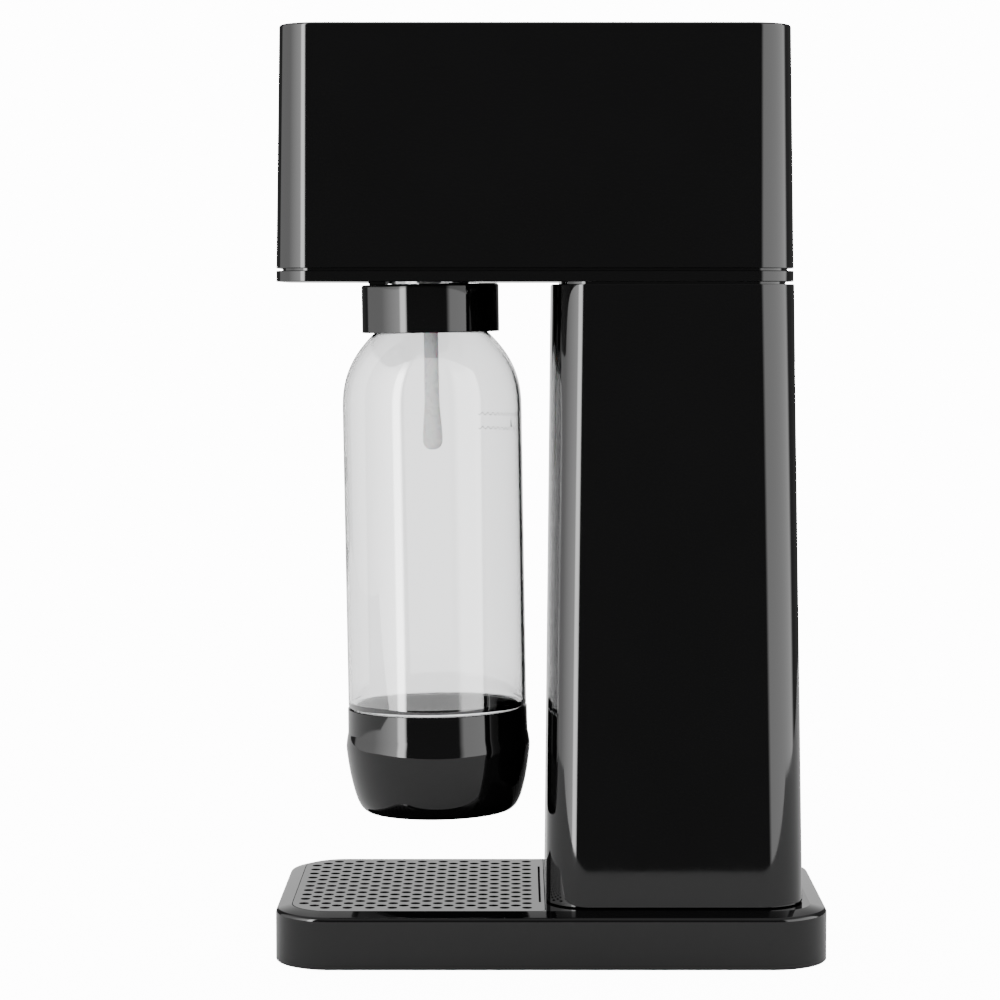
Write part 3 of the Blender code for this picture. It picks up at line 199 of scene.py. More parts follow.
# Heights in the holder's own frame, whose origin is on the hinge axis
FILL_LINES = (-0.0727, -0.0793)
RING_TOP = -RING_DROP
RING_BOTTOM = RING_TOP - RING_HEIGHT
BOTTLE_TOP = RING_TOP + 0.0007
NECK_FOOT = RING_BOTTOM + 0.0082
CUP_TOP = RING_BOTTOM - BOTTLE_LENGTH
SIDE_TOP = RING_BOTTOM - BOTTLE_SHOULDER_LENGTH - 0.0010


def joint_named(name):
    """The CAD model's joint of this name."""
    return next(joint for joint in frame["joints"] if joint["name"] == name)


# ---- Shape tools -----------------------------------------------------------------------------
def rounded_outline(x0, x1, y0, y1, front_radius, rear_radius=None, steps=CORNER_STEPS):
    """Anticlockwise outline of a rectangle whose front and rear corners are arcs."""
    rear_radius = front_radius if rear_radius is None else rear_radius
    corners = (
        (x0 + front_radius, y0 + front_radius, front_radius, math.pi),
        (x1 - front_radius, y0 + front_radius, front_radius, 1.5 * math.pi),
        (x1 - rear_radius, y1 - rear_radius, rear_radius, 0.0),
        (x0 + rear_radius, y1 - rear_radius, rear_radius, 0.5 * math.pi),
    )
    points = []
    for cx, cy, radius, start in corners:
        for step in range(steps + 1):
            angle = start + 0.5 * math.pi * step / steps
            points.append((cx + radius * math.cos(angle), cy + radius * math.sin(angle)))
    return points


def circle_outline(cx, cy, radius, sides=ROUND):
    """Anticlockwise outline of a circle."""
    angles = [2 * math.pi * i / sides for i in range(sides)]
    return [(cx + radius * math.cos(a), cy + radius * math.sin(a)) for a in angles]


def level(outline, z):
    """The outline as points at one height."""
    return [(x, y, z) for x, y in outline]


def add_rings(bm, rings, closed):
    """Walls through rings of equal point counts; capped at both ends, or joined end to start."""
    rows = [[bm.verts.new(point) for point in ring] for ring in rings]
    count = len(rows[0])
    pairs = list(zip(rows, rows[1:]))
    if closed:
        pairs.append((rows[-1], rows[0]))
    for low, high in pairs:
        for i in range(count):
            j = (i + 1) % count
            bm.faces.new((low[i], low[j], high[j], high[i]))
    if not closed:
        bm.faces.new(list(reversed(rows[0])))
        bm.faces.new(rows[-1])


def add_prism(bm, outline, z0, z1):
    """A straight-walled solid over the outline."""
    add_rings(bm, [level(outline, z0), level(outline, z1)], False)


def add_turned(bm, profile, sides=ROUND):
    """Turn a closed loop of (radius, height), or a line whose two ends lie on the axis."""
    on_axis = {i: bm.verts.new((0, 0, z)) for i, (r, z) in enumerate(profile) if r == 0}
    columns = []
    for side in range(sides):
        angle = 2 * math.pi * side / sides
        column = []
        for i, (r, z) in enumerate(profile):
            place = (r * math.cos(angle), r * math.sin(angle), z)
            column.append(on_axis[i] if r == 0 else bm.verts.new(place))
        columns.append(column)
    for side in range(sides):
        left = columns[side]
        right = columns[(side + 1) % sides]
        for i in range(len(profile)):
            j = (i + 1) % len(profile)
            corners = list(dict.fromkeys([left[i], right[i], right[j], left[j]]))
            if len(corners) > 2:
                bm.faces.new(corners)


def new_piece(name, bm, sharp=SHARP_ANGLE):
    """A smooth-shaded object from the mesh, its hard edges kept sharp."""
    bmesh.ops.recalc_face_normals(bm, faces=bm.faces[:])
    mesh = bpy.data.meshes.new(name)
    bm.to_mesh(mesh)
    bm.free()
    mesh.shade_smooth()
    mesh.set_sharp_from_angle(angle=math.radians(sharp))
    obj = bpy.data.objects.new(name, mesh)
    bpy.context.scene.collection.objects.link(obj)
    return obj


def shape(name, builder, *args, sharp=SHARP_ANGLE, **kwargs):
    """An object whose mesh one builder makes."""
    bm = bmesh.new()
    builder(bm, *args, **kwargs)
    return new_piece(name, bm, sharp)


def carve(obj, *cutters, operation="DIFFERENCE", sharp=SHARP_ANGLE):
    """Cut or add the cutters for good, and mark the sharp edges again."""
    for cutter in cutters:
        modifier = obj.modifiers.new("carve", "BOOLEAN")
        modifier.operation = operation
        modifier.solver = "EXACT"
        modifier.object = cutter
    bake_modifiers(obj)
    for cutter in cutters:
        bpy.data.objects.remove(cutter)
    obj.data.shade_smooth()
    obj.data.set_sharp_from_angle(angle=math.radians(sharp))
    return obj


def bake_modifiers(obj):
    """Replace the mesh with what its modifiers make of it."""
    graph = bpy.context.evaluated_depsgraph_get()
    mesh = bpy.data.meshes.new_from_object(obj.evaluated_get(graph), depsgraph=graph)
    obj.modifiers.clear()
    obj.data = mesh


def soften_edges(obj, width, segments=3, angle=SOFT_ANGLE):
    """A small round on every hard edge, with face-weighted normals so that flats stay flat."""
    bevel = obj.modifiers.new("edge_round", "BEVEL")
    bevel.width = width
    bevel.segments = segments
    bevel.limit_method = "ANGLE"
    bevel.angle_limit = math.radians(angle)
    bevel.use_clamp_overlap = True
    bevel.harden_normals = False
    weighted = obj.modifiers.new("flat_normals", "WEIGHTED_NORMAL")
    weighted.keep_sharp = True
    return obj


def dress(obj, body, node, material):
    """Put a finished piece in place of a CAD node."""
    obj.data.materials.clear()
    obj.data.materials.append(material)
    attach(obj, body)
    if node:
        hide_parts(node)
    return obj


# ---- Materials -------------------------------------------------------------------------------
class Finish:
    """A Principled material with a few helpers for its procedural detail."""

    def __init__(self, name, **sockets):
        self.material = bpy.data.materials.new(name)
        self.material.use_nodes = True
        self.nodes = self.material.node_tree.nodes
        self.links = self.material.node_tree.links
        self.shader = self.nodes["Principled BSDF"]
        for socket, value in sockets.items():
            self.set(socket.replace("_", " "), value)
        self.coords = self.nodes.new("ShaderNodeTexCoord").outputs["Object"]

    def set(self, socket, value):
        self.shader.inputs[socket].default_value = value

    def stretched(self, scale):
        mapping = self.nodes.new("ShaderNodeMapping")
        mapping.inputs["Scale"].default_value = scale
        self.links.new(self.coords, mapping.inputs["Vector"])
        return mapping.outputs["Vector"]

    def noise(self, scale, detail=2.0, roughness=0.5, vector=None):
        node = self.nodes.new("ShaderNodeTexNoise")
        node.inputs["Scale"].default_value = scale
        node.inputs["Detail"].default_value = detail
        node.inputs["Roughness"].default_value = roughness
        self.links.new(vector or self.coords, node.inputs["Vector"])
        return node.outputs["Fac"]

    def spread(self, value, low, high):
        node = self.nodes.new("ShaderNodeMapRange")
        node.inputs["From Min"].default_value = NOISE_RANGE[0]
        node.inputs["From Max"].default_value = NOISE_RANGE[1]
        node.inputs["To Min"].default_value = low
        node.inputs["To Max"].default_value = high
        self.links.new(value, node.inputs["Value"])
        return node.outputs["Result"]

    def blend(self, factor, dark, light):
        node = self.nodes.new("ShaderNodeMix")
        node.data_type = "RGBA"
        node.inputs["A"].default_value = (*dark, 1.0)
        node.inputs["B"].default_value = (*light, 1.0)
        self.links.new(factor, node.inputs["Factor"])
        return node.outputs["Result"]

    def colour(self, factor, dark, light):
        self.links.new(self.blend(factor, dark, light), self.shader.inputs["Base Color"])

    def rough(self, value, low, high):
        self.links.new(self.spread(value, low, high), self.shader.inputs["Roughness"])

    def bump(self, height, strength, distance):
        node = self.nodes.new("ShaderNodeBump")
        node.inputs["Strength"].default_value = strength
        node.inputs["Distance"].default_value = distance
        self.links.new(height, node.inputs["Height"])
        previous = self.shader.inputs["Normal"].links
        if previous:
            self.links.new(previous[0].from_socket, node.inputs["Normal"])
        self.links.new(node.outputs["Normal"], self.shader.inputs["Normal"])


def gloss_black():
    """Piano-black ABS: faint moulding ripple, cloudy polish and fine dust specks."""
    finish = Finish("gloss_black", Metallic=0.0, IOR=1.5)
    polish = finish.noise(28.0, 3.0)
    finish.colour(polish, (0.0016, 0.0016, 0.0017), (0.0026, 0.0026, 0.0028))
    finish.rough(finish.noise(90.0, 4.0, 0.6), 0.035, 0.065)
    finish.bump(finish.noise(60.0, 1.0), 0.05, 0.0003)
    finish.bump(finish.noise(2500.0, 2.0), 0.02, 0.00005)
    return finish.material


def satin_black():
    """Moulded ABS with a fine spark-eroded grain."""
    finish = Finish("satin_black", Metallic=0.0, IOR=1.5)
    finish.colour(finish.noise(40.0, 4.0), (0.006, 0.006, 0.007), (0.014, 0.014, 0.015))
    finish.rough(finish.noise(600.0, 3.0), 0.38, 0.55)
    finish.bump(finish.noise(1800.0, 3.0, 0.6), 0.35, 0.00015)
    return finish.material


def steel():
    """Brushed along its height."""
    finish = Finish("steel", Metallic=1.0)
    grain = finish.noise(900.0, 4.0, 0.6, finish.stretched((1.0, 1.0, 0.06)))
    finish.colour(grain, (0.42, 0.42, 0.43), (0.60, 0.60, 0.61))
    finish.rough(grain, 0.24, 0.42)
    finish.bump(grain, 0.12, 0.00008)
    return finish.material


def brass():
    """Turned, with fine rings round its height."""
    finish = Finish("brass", Metallic=1.0)
    turning = finish.noise(1400.0, 3.0, 0.6, finish.stretched((0.08, 0.08, 1.0)))
    finish.colour(finish.noise(70.0, 4.0), (0.50, 0.34, 0.13), (0.66, 0.50, 0.24))
    finish.rough(turning, 0.22, 0.40)
    finish.bump(turning, 0.10, 0.00008)
    return finish.material


def rubber():
    """Dull black rubber."""
    finish = Finish("rubber", Metallic=0.0, IOR=1.45)
    finish.colour(finish.noise(120.0, 4.0), (0.012, 0.012, 0.012), (0.026, 0.026, 0.026))
    finish.rough(finish.noise(500.0, 3.0), 0.70, 0.88)
    finish.bump(finish.noise(1500.0, 3.0), 0.30, 0.00015)
    return finish.material


def cylinder_paint():
    """Powder-coated aluminium with a fine orange peel."""
    finish = Finish("cylinder_paint", Metallic=0.55)
    finish.colour(finish.noise(35.0, 4.0), (0.36, 0.38, 0.41), (0.46, 0.48, 0.51))
    finish.rough(finish.noise(420.0, 3.0), 0.30, 0.42)
    finish.bump(finish.noise(650.0, 2.0), 0.25, 0.0002)
    return finish.material


def clear_plastic():
    """Clear blown plastic: slow ripples from blowing, and faint flow marks along its height."""
    finish = Finish("clear_plastic", Metallic=0.0, IOR=1.46)
    finish.set("Transmission Weight", 1.0)
    finish.set("Base Color", (0.985, 0.988, 0.990, 1.0))
    finish.set("Coat Weight", 1.0)
    finish.set("Coat IOR", 1.9)
    finish.rough(finish.noise(60.0, 2.0), 0.0, 0.02)
    flow = finish.noise(55.0, 2.0, 0.5, finish.stretched((1.0, 1.0, 0.15)))
    finish.bump(flow, 0.05, 0.0004)
    return finish.material


def tube_plastic():
    """Milky translucent moulding."""
    finish = Finish("tube_plastic", Metallic=0.0, IOR=1.45)
    finish.set("Transmission Weight", 0.12)
    finish.set("Subsurface Weight", 0.35)
    finish.set("Subsurface Scale", 0.004)
    finish.colour(finish.noise(80.0, 1.0), (0.86, 0.87, 0.87), (0.89, 0.90, 0.90))
    finish.rough(finish.noise(300.0, 2.0), 0.22, 0.36)
    finish.bump(finish.noise(900.0, 1.0), 0.02, 0.00005)
    return finish.material


def print_ink():
    """Black ink of the fill marks."""
    finish = Finish("print_ink", Metallic=0.0)
    finish.colour(finish.noise(900.0, 3.0), (0.002, 0.002, 0.003), (0.012, 0.012, 0.013))
    finish.rough(finish.noise(1200.0, 2.0), 0.40, 0.60)
    return finish.material


MATERIALS = {
    "gloss_black": gloss_black(),
    "satin_black": satin_black(),
    "steel": steel(),
    "brass": brass(),
    "rubber": rubber(),
    "cylinder_paint": cylinder_paint(),
    "clear_plastic": clear_plastic(),
    "tube_plastic": tube_plastic(),
}


def dress_cad_nodes():
    """Every CAD node gets the full material of its slot."""
    for part in frame["record"]["subparts"]:
        node = frame["nodes"][part["node"]]
        node.data.materials.clear()
        node.data.materials.append(MATERIALS[part["material_slot"]])


def put_in_place(obj, node, body, slot):
    """Dress a piece that stands for a CAD node, in its slot's material."""
    return dress(obj, body, node, MATERIALS[slot])


# ---- Base ------------------------------------------------------------------------------------
def make_base_shell():
    """A hollow cover with a sloped rim, open under the tower and round the grille."""
    low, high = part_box("base_shell")
    x, y, bottom, top = high[0], high[1], low[2], high[2]

    def outline(inset):
        return rounded_outline(-x + inset, x - inset, -y + inset, y - inset, BASE_CORNER - inset)

    tilt = math.pi / 2 - RIM_ANGLE
    run = RIM_WIDTH - BASE_FILLET * (1 - math.cos(tilt))
    arc_start = top - run * math.tan(RIM_ANGLE) - BASE_FILLET * math.sin(tilt)
    rings = [level(outline(BASE_FOOT_ROUND), bottom), level(outline(0), bottom + BASE_FOOT_ROUND)]
    rings.append(level(outline(0), arc_start - SUPPORT))
    for step in range(BASE_FILLET_STEPS + 1):
        angle = tilt * step / BASE_FILLET_STEPS
        inset = BASE_FILLET * (1 - math.cos(angle))
        rings.append(level(outline(inset), arc_start + BASE_FILLET * math.sin(angle)))
    rings.append(level(outline(RIM_WIDTH), top))
    shell = shape("base_cover", add_rings, rings, False)
    cavity = shape("cavity", add_prism, outline(BASE_WALL), -top, arc_start - BASE_ROOF)
    well = shape("well", add_prism, grille_outline(GAP), 0, 2 * top)
    tower_low, tower_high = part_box("tower_shell")
    inset = TOWER_WALL + BAY_MARGIN
    bay_box = (tower_low[0] + inset, tower_high[0] - inset, tower_low[1] + inset, tower_high[1] - inset)
    bay = shape("bay", add_prism, rounded_outline(*bay_box, TOWER_CORNER - inset), 0, 2 * top)
    carve(shell, cavity, well, bay, sharp=BASE_SHARP_ANGLE)
    put_in_place(shell, "base_shell", "machine", "gloss_black")


def grille_outline(grow):
    """The grille's outline, grown by so much all round."""
    low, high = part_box("drip_grille")
    edges = (low[0] - grow, high[0] + grow, low[1] - grow, high[1] + grow)
    return rounded_outline(*edges, GRILLE_CORNER + grow, GRILLE_REAR_CORNER + grow)


def make_drip_grille():
    """A plate with staggered round holes and one long slot along its rear edge."""
    low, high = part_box("drip_grille")
    holes = bmesh.new()
    for column in range(HOLE_COLUMNS):
        count = HOLE_ROWS - column % 2
        for row in range(count):
            if column == 0 and row in (0, count - 1):
                continue
            x = (row - (count - 1) / 2) * 2 * HOLE_PITCH
            y = low[1] + HOLE_FRONT_MARGIN + column * HOLE_PITCH
            add_prism(holes, circle_outline(x, y, HOLE_RADIUS, HOLE_SIDES), 0, 2 * high[2])
    half = SLOT_LENGTH / 2
    slot_y = high[1] - SLOT_MARGIN
    end = SLOT_WIDTH * SLOT_END
    slot = rounded_outline(-half, half, slot_y - SLOT_WIDTH / 2, slot_y + SLOT_WIDTH / 2, end, steps=4)
    add_prism(holes, slot, 0, 2 * high[2])
    plate = shape("perforated_plate", add_prism, grille_outline(0), low[2], high[2])
    carve(plate, new_piece("holes", holes))
    soften_edges(plate, GRILLE_EDGE, segments=2)
    put_in_place(plate, "drip_grille", "grille", "gloss_black")


# ---- Tower -----------------------------------------------------------------------------------
def make_tower_shell():
    """A tapered sleeve with a window for the rear panel."""
    low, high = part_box("tower_shell")
    edge = TOWER_EDGE

    def ring(z, inset):
        t = (z - low[2]) / (high[2] - low[2])
        x = high[0] - TOWER_DRAFT_X * t - inset
        front = low[1] + TOWER_DRAFT_FRONT * t + inset
        rear = high[1] - TOWER_DRAFT_REAR * t - inset
        return level(rounded_outline(-x, x, front, rear, TOWER_CORNER - inset), z)

    rings = [ring(low[2], edge), ring(low[2] + edge, 0)]
    rings += [ring(high[2] - edge, 0), ring(high[2] - 0.3 * edge, 0.3 * edge), ring(high[2], edge)]
    rings += [ring(high[2], TOWER_WALL), ring(low[2], TOWER_WALL)]
    shell = shape("tower_cover", add_rings, rings, True)
    panel_low, panel_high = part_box("rear_panel")
    x = panel_high[0] + GAP
    window = [(-x, WINDOW_FRONT), (x, WINDOW_FRONT), (x, WINDOW_REAR), (-x, WINDOW_REAR)]
    cutter = shape("window", add_prism, window, panel_low[2] - GAP, panel_high[2] + GAP)
    carve(shell, cutter)
    put_in_place(shell, "tower_shell", "machine", "gloss_black")


# ---- Head ------------------------------------------------------------------------------------
def head_outline(inset):
    """The head's outline, drawn in by so much all round."""
    low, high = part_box("head_shell")
    edges = (low[0] + inset, high[0] - inset, low[1] + inset, high[1] - inset)
    return rounded_outline(*edges, TOWER_CORNER - inset)


def button_outline(grow):
    """The button's outline, grown by so much all round."""
    low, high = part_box("push_button")
    edges = (low[0] - grow, high[0] + grow, low[1] - grow, high[1] + grow)
    return rounded_outline(*edges, BUTTON_CORNER + grow)


def make_head_shell():
    """A thin-walled cap with a rounded top edge and an opening for the button."""
    low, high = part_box("head_shell")
    top = high[2]
    ceiling = top - HEAD_WALL
    rings = [level(head_outline(EDGE), low[2]), level(head_outline(0), low[2] + EDGE)]
    rings.append(level(head_outline(HEAD_DRAFT), top - HEAD_FILLET - SUPPORT))
    for step in range(HEAD_FILLET_STEPS + 1):
        angle = 0.5 * math.pi * step / HEAD_FILLET_STEPS
        inset = HEAD_DRAFT + HEAD_FILLET * (1 - math.cos(angle))
        rings.append(level(head_outline(inset), top - HEAD_FILLET * (1 - math.sin(angle))))
    opening = 2 * GAP
    rings.append(level(button_outline(opening + EDGE), top))
    rings.append(level(button_outline(opening), top - EDGE))
    rings.append(level(button_outline(opening), ceiling))
    rings.append(level(head_outline(HEAD_WALL + HEAD_DRAFT), ceiling))
    rings.append(level(head_outline(HEAD_WALL), low[2] + LIP_HEIGHT))
    rings.append(level(head_outline(HEAD_WALL), low[2]))
    shell = shape("head_cover", add_rings, rings, True)
    put_in_place(shell, "head_shell", "machine", "gloss_black")


def make_push_button():
    """A cap with a rounded edge, on a stem whose tip tapers."""
    low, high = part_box("push_button")
    top = high[2]
    bottom = top - BUTTON_HEIGHT
    roof = top - BUTTON_WALL
    edge = BUTTON_EDGE
    rings = [
        level(button_outline(-BUTTON_WALL), roof),
        level(button_outline(-BUTTON_WALL), bottom),
        level(button_outline(0), bottom),
    ]
    for step in range(BUTTON_EDGE_STEPS + 1):
        angle = 0.5 * math.pi * step / BUTTON_EDGE_STEPS
        inset = edge * (1 - math.cos(angle))
        rings.append(level(button_outline(-inset), top - edge * (1 - math.sin(angle))))
    button = shape("push_button_cap", add_rings, rings, False)
    centre_y = (low[1] + high[1]) / 2
    stem_rings = [
        level(circle_outline(0, centre_y, STEM_TIP_RADIUS, ROD_SIDES), low[2]),
        level(circle_outline(0, centre_y, STEM_RADIUS, ROD_SIDES), low[2] + STEM_RADIUS - STEM_TIP_RADIUS),
        level(circle_outline(0, centre_y, STEM_RADIUS, ROD_SIDES), top - BUTTON_WALL / 2),
    ]
    stem = shape("stem", add_rings, stem_rings, False)
    carve(button, stem, operation="UNION")
    put_in_place(button, "push_button", "button", "gloss_black")


def make_head_plate():
    """The plate between tower and head, with a lip into each and its three openings."""
    low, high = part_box("head_plate")
    bottom = low[2] + LIP_HEIGHT
    top = bottom + HEAD_PLATE_THICKNESS
    rings = [level(head_outline(EDGE), bottom), level(head_outline(0), bottom + EDGE)]
    rings += [level(head_outline(0), top - EDGE), level(head_outline(EDGE), top)]
    plate = shape("plate", add_rings, rings, False)
    upper = HEAD_WALL + GAP
    upper_lip = shape("upper_lip", add_rings, [
        level(head_outline(upper), top - SINK),
        level(head_outline(upper), high[2]),
        level(head_outline(upper + LIP_THICKNESS), high[2]),
        level(head_outline(upper + LIP_THICKNESS), top - SINK),
    ], True)
    tower_low, tower_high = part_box("tower_shell")

    def tower_top(inset):
        x = tower_high[0] - TOWER_DRAFT_X - inset
        front = tower_low[1] + TOWER_DRAFT_FRONT + inset
        rear = tower_high[1] - TOWER_DRAFT_REAR - inset
        return rounded_outline(-x, x, front, rear, TOWER_CORNER - inset)

    lower = TOWER_WALL + GAP
    lower_lip = shape("lower_lip", add_rings, [
        level(tower_top(lower + LIP_THICKNESS), low[2]),
        level(tower_top(lower + LIP_THICKNESS), bottom + SINK),
        level(tower_top(lower), bottom + SINK),
        level(tower_top(lower), low[2]),
    ], True)
    carve(plate, upper_lip, lower_lip, operation="UNION")
    hinge = joint_named("holder_tilt")["pos_m"]
    neck_y = hinge[1] + BOTTLE_OFFSET
    cylinder_low, cylinder_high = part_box("gas_cylinder")
    cylinder_y = (cylinder_low[1] + cylinder_high[1]) / 2
    port_radius = cylinder_high[0] + PORT_MARGIN
    x = EAR_OUTER + EAR_SIDE_MARGIN
    front = hinge[1] - EAR_FRONT_MARGIN
    ears = [(-x, front), (x, front), (x, neck_y), (-x, neck_y)]
    span = (bottom - CUT_REACH, top + CUT_REACH)
    carve(
        plate,
        shape("port", add_prism, circle_outline(0, cylinder_y, port_radius), *span),
        shape("neck", add_prism, circle_outline(0, neck_y, NECK_OPENING), *span),
        shape("ears", add_prism, ears, *span),
    )
    put_in_place(plate, "head_plate", "machine", "gloss_black")


# ---- Holder and bottle, made upright on the hinge axis and then leaned ------------------------
def lean(obj, y=0.0):
    """Move a piece made in the holder's own frame to its place, y behind the hinge axis."""
    hinge = Vector(joint_named("holder_tilt")["pos_m"])
    place = Matrix.Translation(hinge) @ Matrix.Rotation(LEAN, 4, "X")
    obj.data.transform(place @ Matrix.Translation((0, y, 0)))
    return obj


def arc(cx, cz, radius, start, end, steps):
    """(radius, height) points of an arc, angles in degrees."""
    points = []
    for step in range(steps + 1):
        angle = math.radians(start + (end - start) * step / steps)
        points.append((cx + radius * math.cos(angle), cz + radius * math.sin(angle)))
    return points


def rod_x(name, x0, x1, y, z, radius, sides=ROD_SIDES):
    """A round rod along X."""
    profile = [(0, x0), (radius, x0), (radius, x1), (0, x1)]
    rod = shape(name, add_turned, profile, sides)
    rod.data.transform(Matrix.Translation((0, y, z)) @ Matrix.Rotation(math.pi / 2, 4, "Y"))
    return rod


def plate_x(name, outline, x0, x1):
    """A flat plate across X, its outline given as (y, z)."""
    rings = [[(x, y, z) for y, z in outline] for x in (x0, x1)]
    return shape(name, add_rings, rings, False)


def make_holder_ring():
    """The ring over the bottle's neck, with two ears that hang on the hinge pin."""
    inner = RING_RADIUS - RING_WALL
    hole = COLLAR_RADIUS + GAP
    ceiling = RING_TOP - RING_ROOF
    profile = [(inner, RING_BOTTOM + EDGE), (inner + EDGE, RING_BOTTOM)]
    profile += [(RING_RADIUS - EDGE, RING_BOTTOM), (RING_RADIUS, RING_BOTTOM + EDGE)]
    profile += arc(RING_RADIUS - RING_EDGE, RING_TOP - RING_EDGE, RING_EDGE, 0, 90, RING_EDGE_STEPS)
    profile += [(hole, RING_TOP), (hole, ceiling)]
    profile += [(inner - RING_CHAMFER, ceiling), (inner, ceiling - RING_CHAMFER)]
    ring = shape("neck_ring", add_turned, profile)
    ring.data.transform(Matrix.Translation((0, BOTTLE_OFFSET, 0)))
    foot = RING_TOP - SINK
    # The ears' posts as (y, z), from the hinge pin back and down into the ring
    outline = [(0, -0.004), (0.004, foot), (0.011, foot), (0.011, -0.006), (0.003, 0.004)]
    ears = []
    for side in (-1, 1):
        x0, x1 = sorted((side * EAR_INNER, side * EAR_OUTER))
        ears.append(plate_x("ear_post", outline, x0, x1))
        ears.append(rod_x("ear_hub", x0, x1, 0, 0, HINGE_PIN_RADIUS + HUB_WALL))
    carve(ring, *ears, operation="UNION")
    carve(ring, rod_x("ear_bore", -BORE_REACH, BORE_REACH, 0, 0, HINGE_PIN_RADIUS + GAP))
    put_in_place(lean(ring), "holder_ring", "holder", "gloss_black")


def tube_outline(steps):
    """The tube's outer (radius, height) line, from its round tip up to its top."""
    tip = RING_BOTTOM - TUBE_LENGTH
    points = []
    for step in range(steps + 1):
        angle = 0.5 * math.pi * step / steps
        r = TUBE_BORE + (TUBE_TIP_RADIUS - TUBE_BORE) * math.sin(angle)
        points.append((r, tip + DROP_ROUND * (1 - math.cos(angle))))
    for step in range(1, steps + 1):
        t = step / steps
        ease = t * t * (3 - 2 * t)
        r = TUBE_TIP_RADIUS + (TUBE_TOP_RADIUS - TUBE_TIP_RADIUS) * ease
        points.append((r, tip + DROP_ROUND + (DROP_LENGTH - DROP_ROUND) * t))
    return points + [(TUBE_TOP_RADIUS, 0)]


def make_carbonation_tube():
    """The bored tube that hangs into the bottle, with a drop-shaped end."""
    tube = shape("gas_tube", add_turned, [(TUBE_BORE, 0)] + tube_outline(TUBE_STEPS), TUBE_SIDES)
    put_in_place(lean(tube, BOTTLE_OFFSET), "carbonation_tube", "holder", "tube_plastic")


def foot_curve(shrink, lift):
    """The bottle's rounded bottom, from its side down to its flat, shrunk and lifted."""
    points = []
    side = BOTTLE_RADIUS - FOOT_STEP
    for step in range(FOOT_STEPS + 1):
        angle = 0.5 * math.pi * step / FOOT_STEPS
        r = FOOT_FLAT + (side - FOOT_FLAT) * math.cos(angle) - shrink
        z = CUP_TOP - FOOT_STRAIGHT - (FOOT_DEPTH - FOOT_STRAIGHT - lift) * math.sin(angle)
        points.append((r, z))
    return points


def shoulder_curve(shrink):
    """From the ring's lower edge down to the bottle's straight side."""
    points = []
    for step in range(SHOULDER_STEPS + 1):
        t = 1 - step / SHOULDER_STEPS
        drop = (BOTTLE_RADIUS - BOTTLE_SHOULDER_RADIUS) * t**SHOULDER_POWER
        points.append((BOTTLE_RADIUS - drop - shrink, RING_BOTTOM - BOTTLE_SHOULDER_LENGTH * (1 - t)))
    return points


def neck_curve(shrink):
    """From the mouth down to the shoulder."""
    reach = BOTTLE_SHOULDER_RADIUS - NECK_RADIUS
    curve = [(NECK_RADIUS + share * reach - shrink, NECK_FOOT - drop) for share, drop in NECK_CURVE]
    return [(NECK_RADIUS - shrink, BOTTLE_TOP), (NECK_RADIUS - shrink, NECK_FOOT)] + curve


def make_bottle_body():
    """The clear bottle; its side steps in at the cup's top edge."""
    side = BOTTLE_RADIUS - FOOT_STEP
    wall = BOTTLE_WALL
    outer = neck_curve(0) + shoulder_curve(0)
    # A ring near each end of the long side keeps its normals straight, so that it doesn't bend the view
    outer += [(BOTTLE_RADIUS, SIDE_TOP), (BOTTLE_RADIUS, CUP_TOP + 0.0030)]
    outer += [(BOTTLE_RADIUS, CUP_TOP + 0.0012), (BOTTLE_RADIUS - 0.0002, CUP_TOP + 0.0007)]
    outer += [(BOTTLE_RADIUS - 0.0008, CUP_TOP + GAP), (side, CUP_TOP + GAP)]
    outer += foot_curve(0, 0) + [(0, CUP_TOP - FOOT_DEPTH)]
    inner = neck_curve(wall + 0.0004) + shoulder_curve(wall)
    inner += [(BOTTLE_RADIUS - wall, SIDE_TOP), (BOTTLE_RADIUS - wall, CUP_TOP + 0.0048)]
    inner += [(BOTTLE_RADIUS - wall, CUP_TOP + 0.0030), (side - wall, CUP_TOP + 0.0010)]
    inner += foot_curve(wall, wall) + [(0, CUP_TOP - FOOT_DEPTH + wall)]
    bottle = shape("bottle", add_turned, outer + list(reversed(inner)), BOTTLE_SIDES)
    put_in_place(lean(bottle, BOTTLE_OFFSET), "bottle_body", "bottle", "clear_plastic")


def smooth_profile(points, steps):
    """A Catmull-Rom curve through the points."""
    path = []
    ends = [points[0]] + points + [points[-1]]
    for a, b, c, d in zip(ends, ends[1:], ends[2:], ends[3:]):
        for step in range(steps):
            t = step / steps
            place = []
            for p, q, r, s in zip(a, b, c, d):
                square = (2 * p - 5 * q + 4 * r - s) * t**2
                cube = (3 * q - p - 3 * r + s) * t**3
                place.append(0.5 * (2 * q + (r - p) * t + square + cube))
            path.append(tuple(place))
    return path + [points[-1]]


def make_bottle_cup():
    """The opaque cup that the bottle's rounded foot stands in."""
    side = BOTTLE_RADIUS - FOOT_STEP
    foot = CUP_TOP - CUP_HEIGHT
    skirt = [(BOTTLE_RADIUS + out, CUP_TOP - down) for out, down in CUP_SKIRT]
    outer = [(BOTTLE_RADIUS, CUP_TOP), (BOTTLE_RADIUS + EDGE, CUP_TOP - EDGE)]
    outer += smooth_profile(skirt, CUP_SKIRT_STEPS)
    outer += [(BOTTLE_RADIUS - 0.0130, foot), (BOTTLE_RADIUS - 0.0150, foot + 0.002), (0, foot + 0.002)]
    inner = [(side + GAP, CUP_TOP)] + foot_curve(-GAP, -GAP) + [(0, CUP_TOP - FOOT_DEPTH - GAP)]
    cup = shape("foot_cup", add_turned, outer + list(reversed(inner)))
    put_in_place(lean(cup, BOTTLE_OFFSET), "bottle_cup", "bottle", "gloss_black")


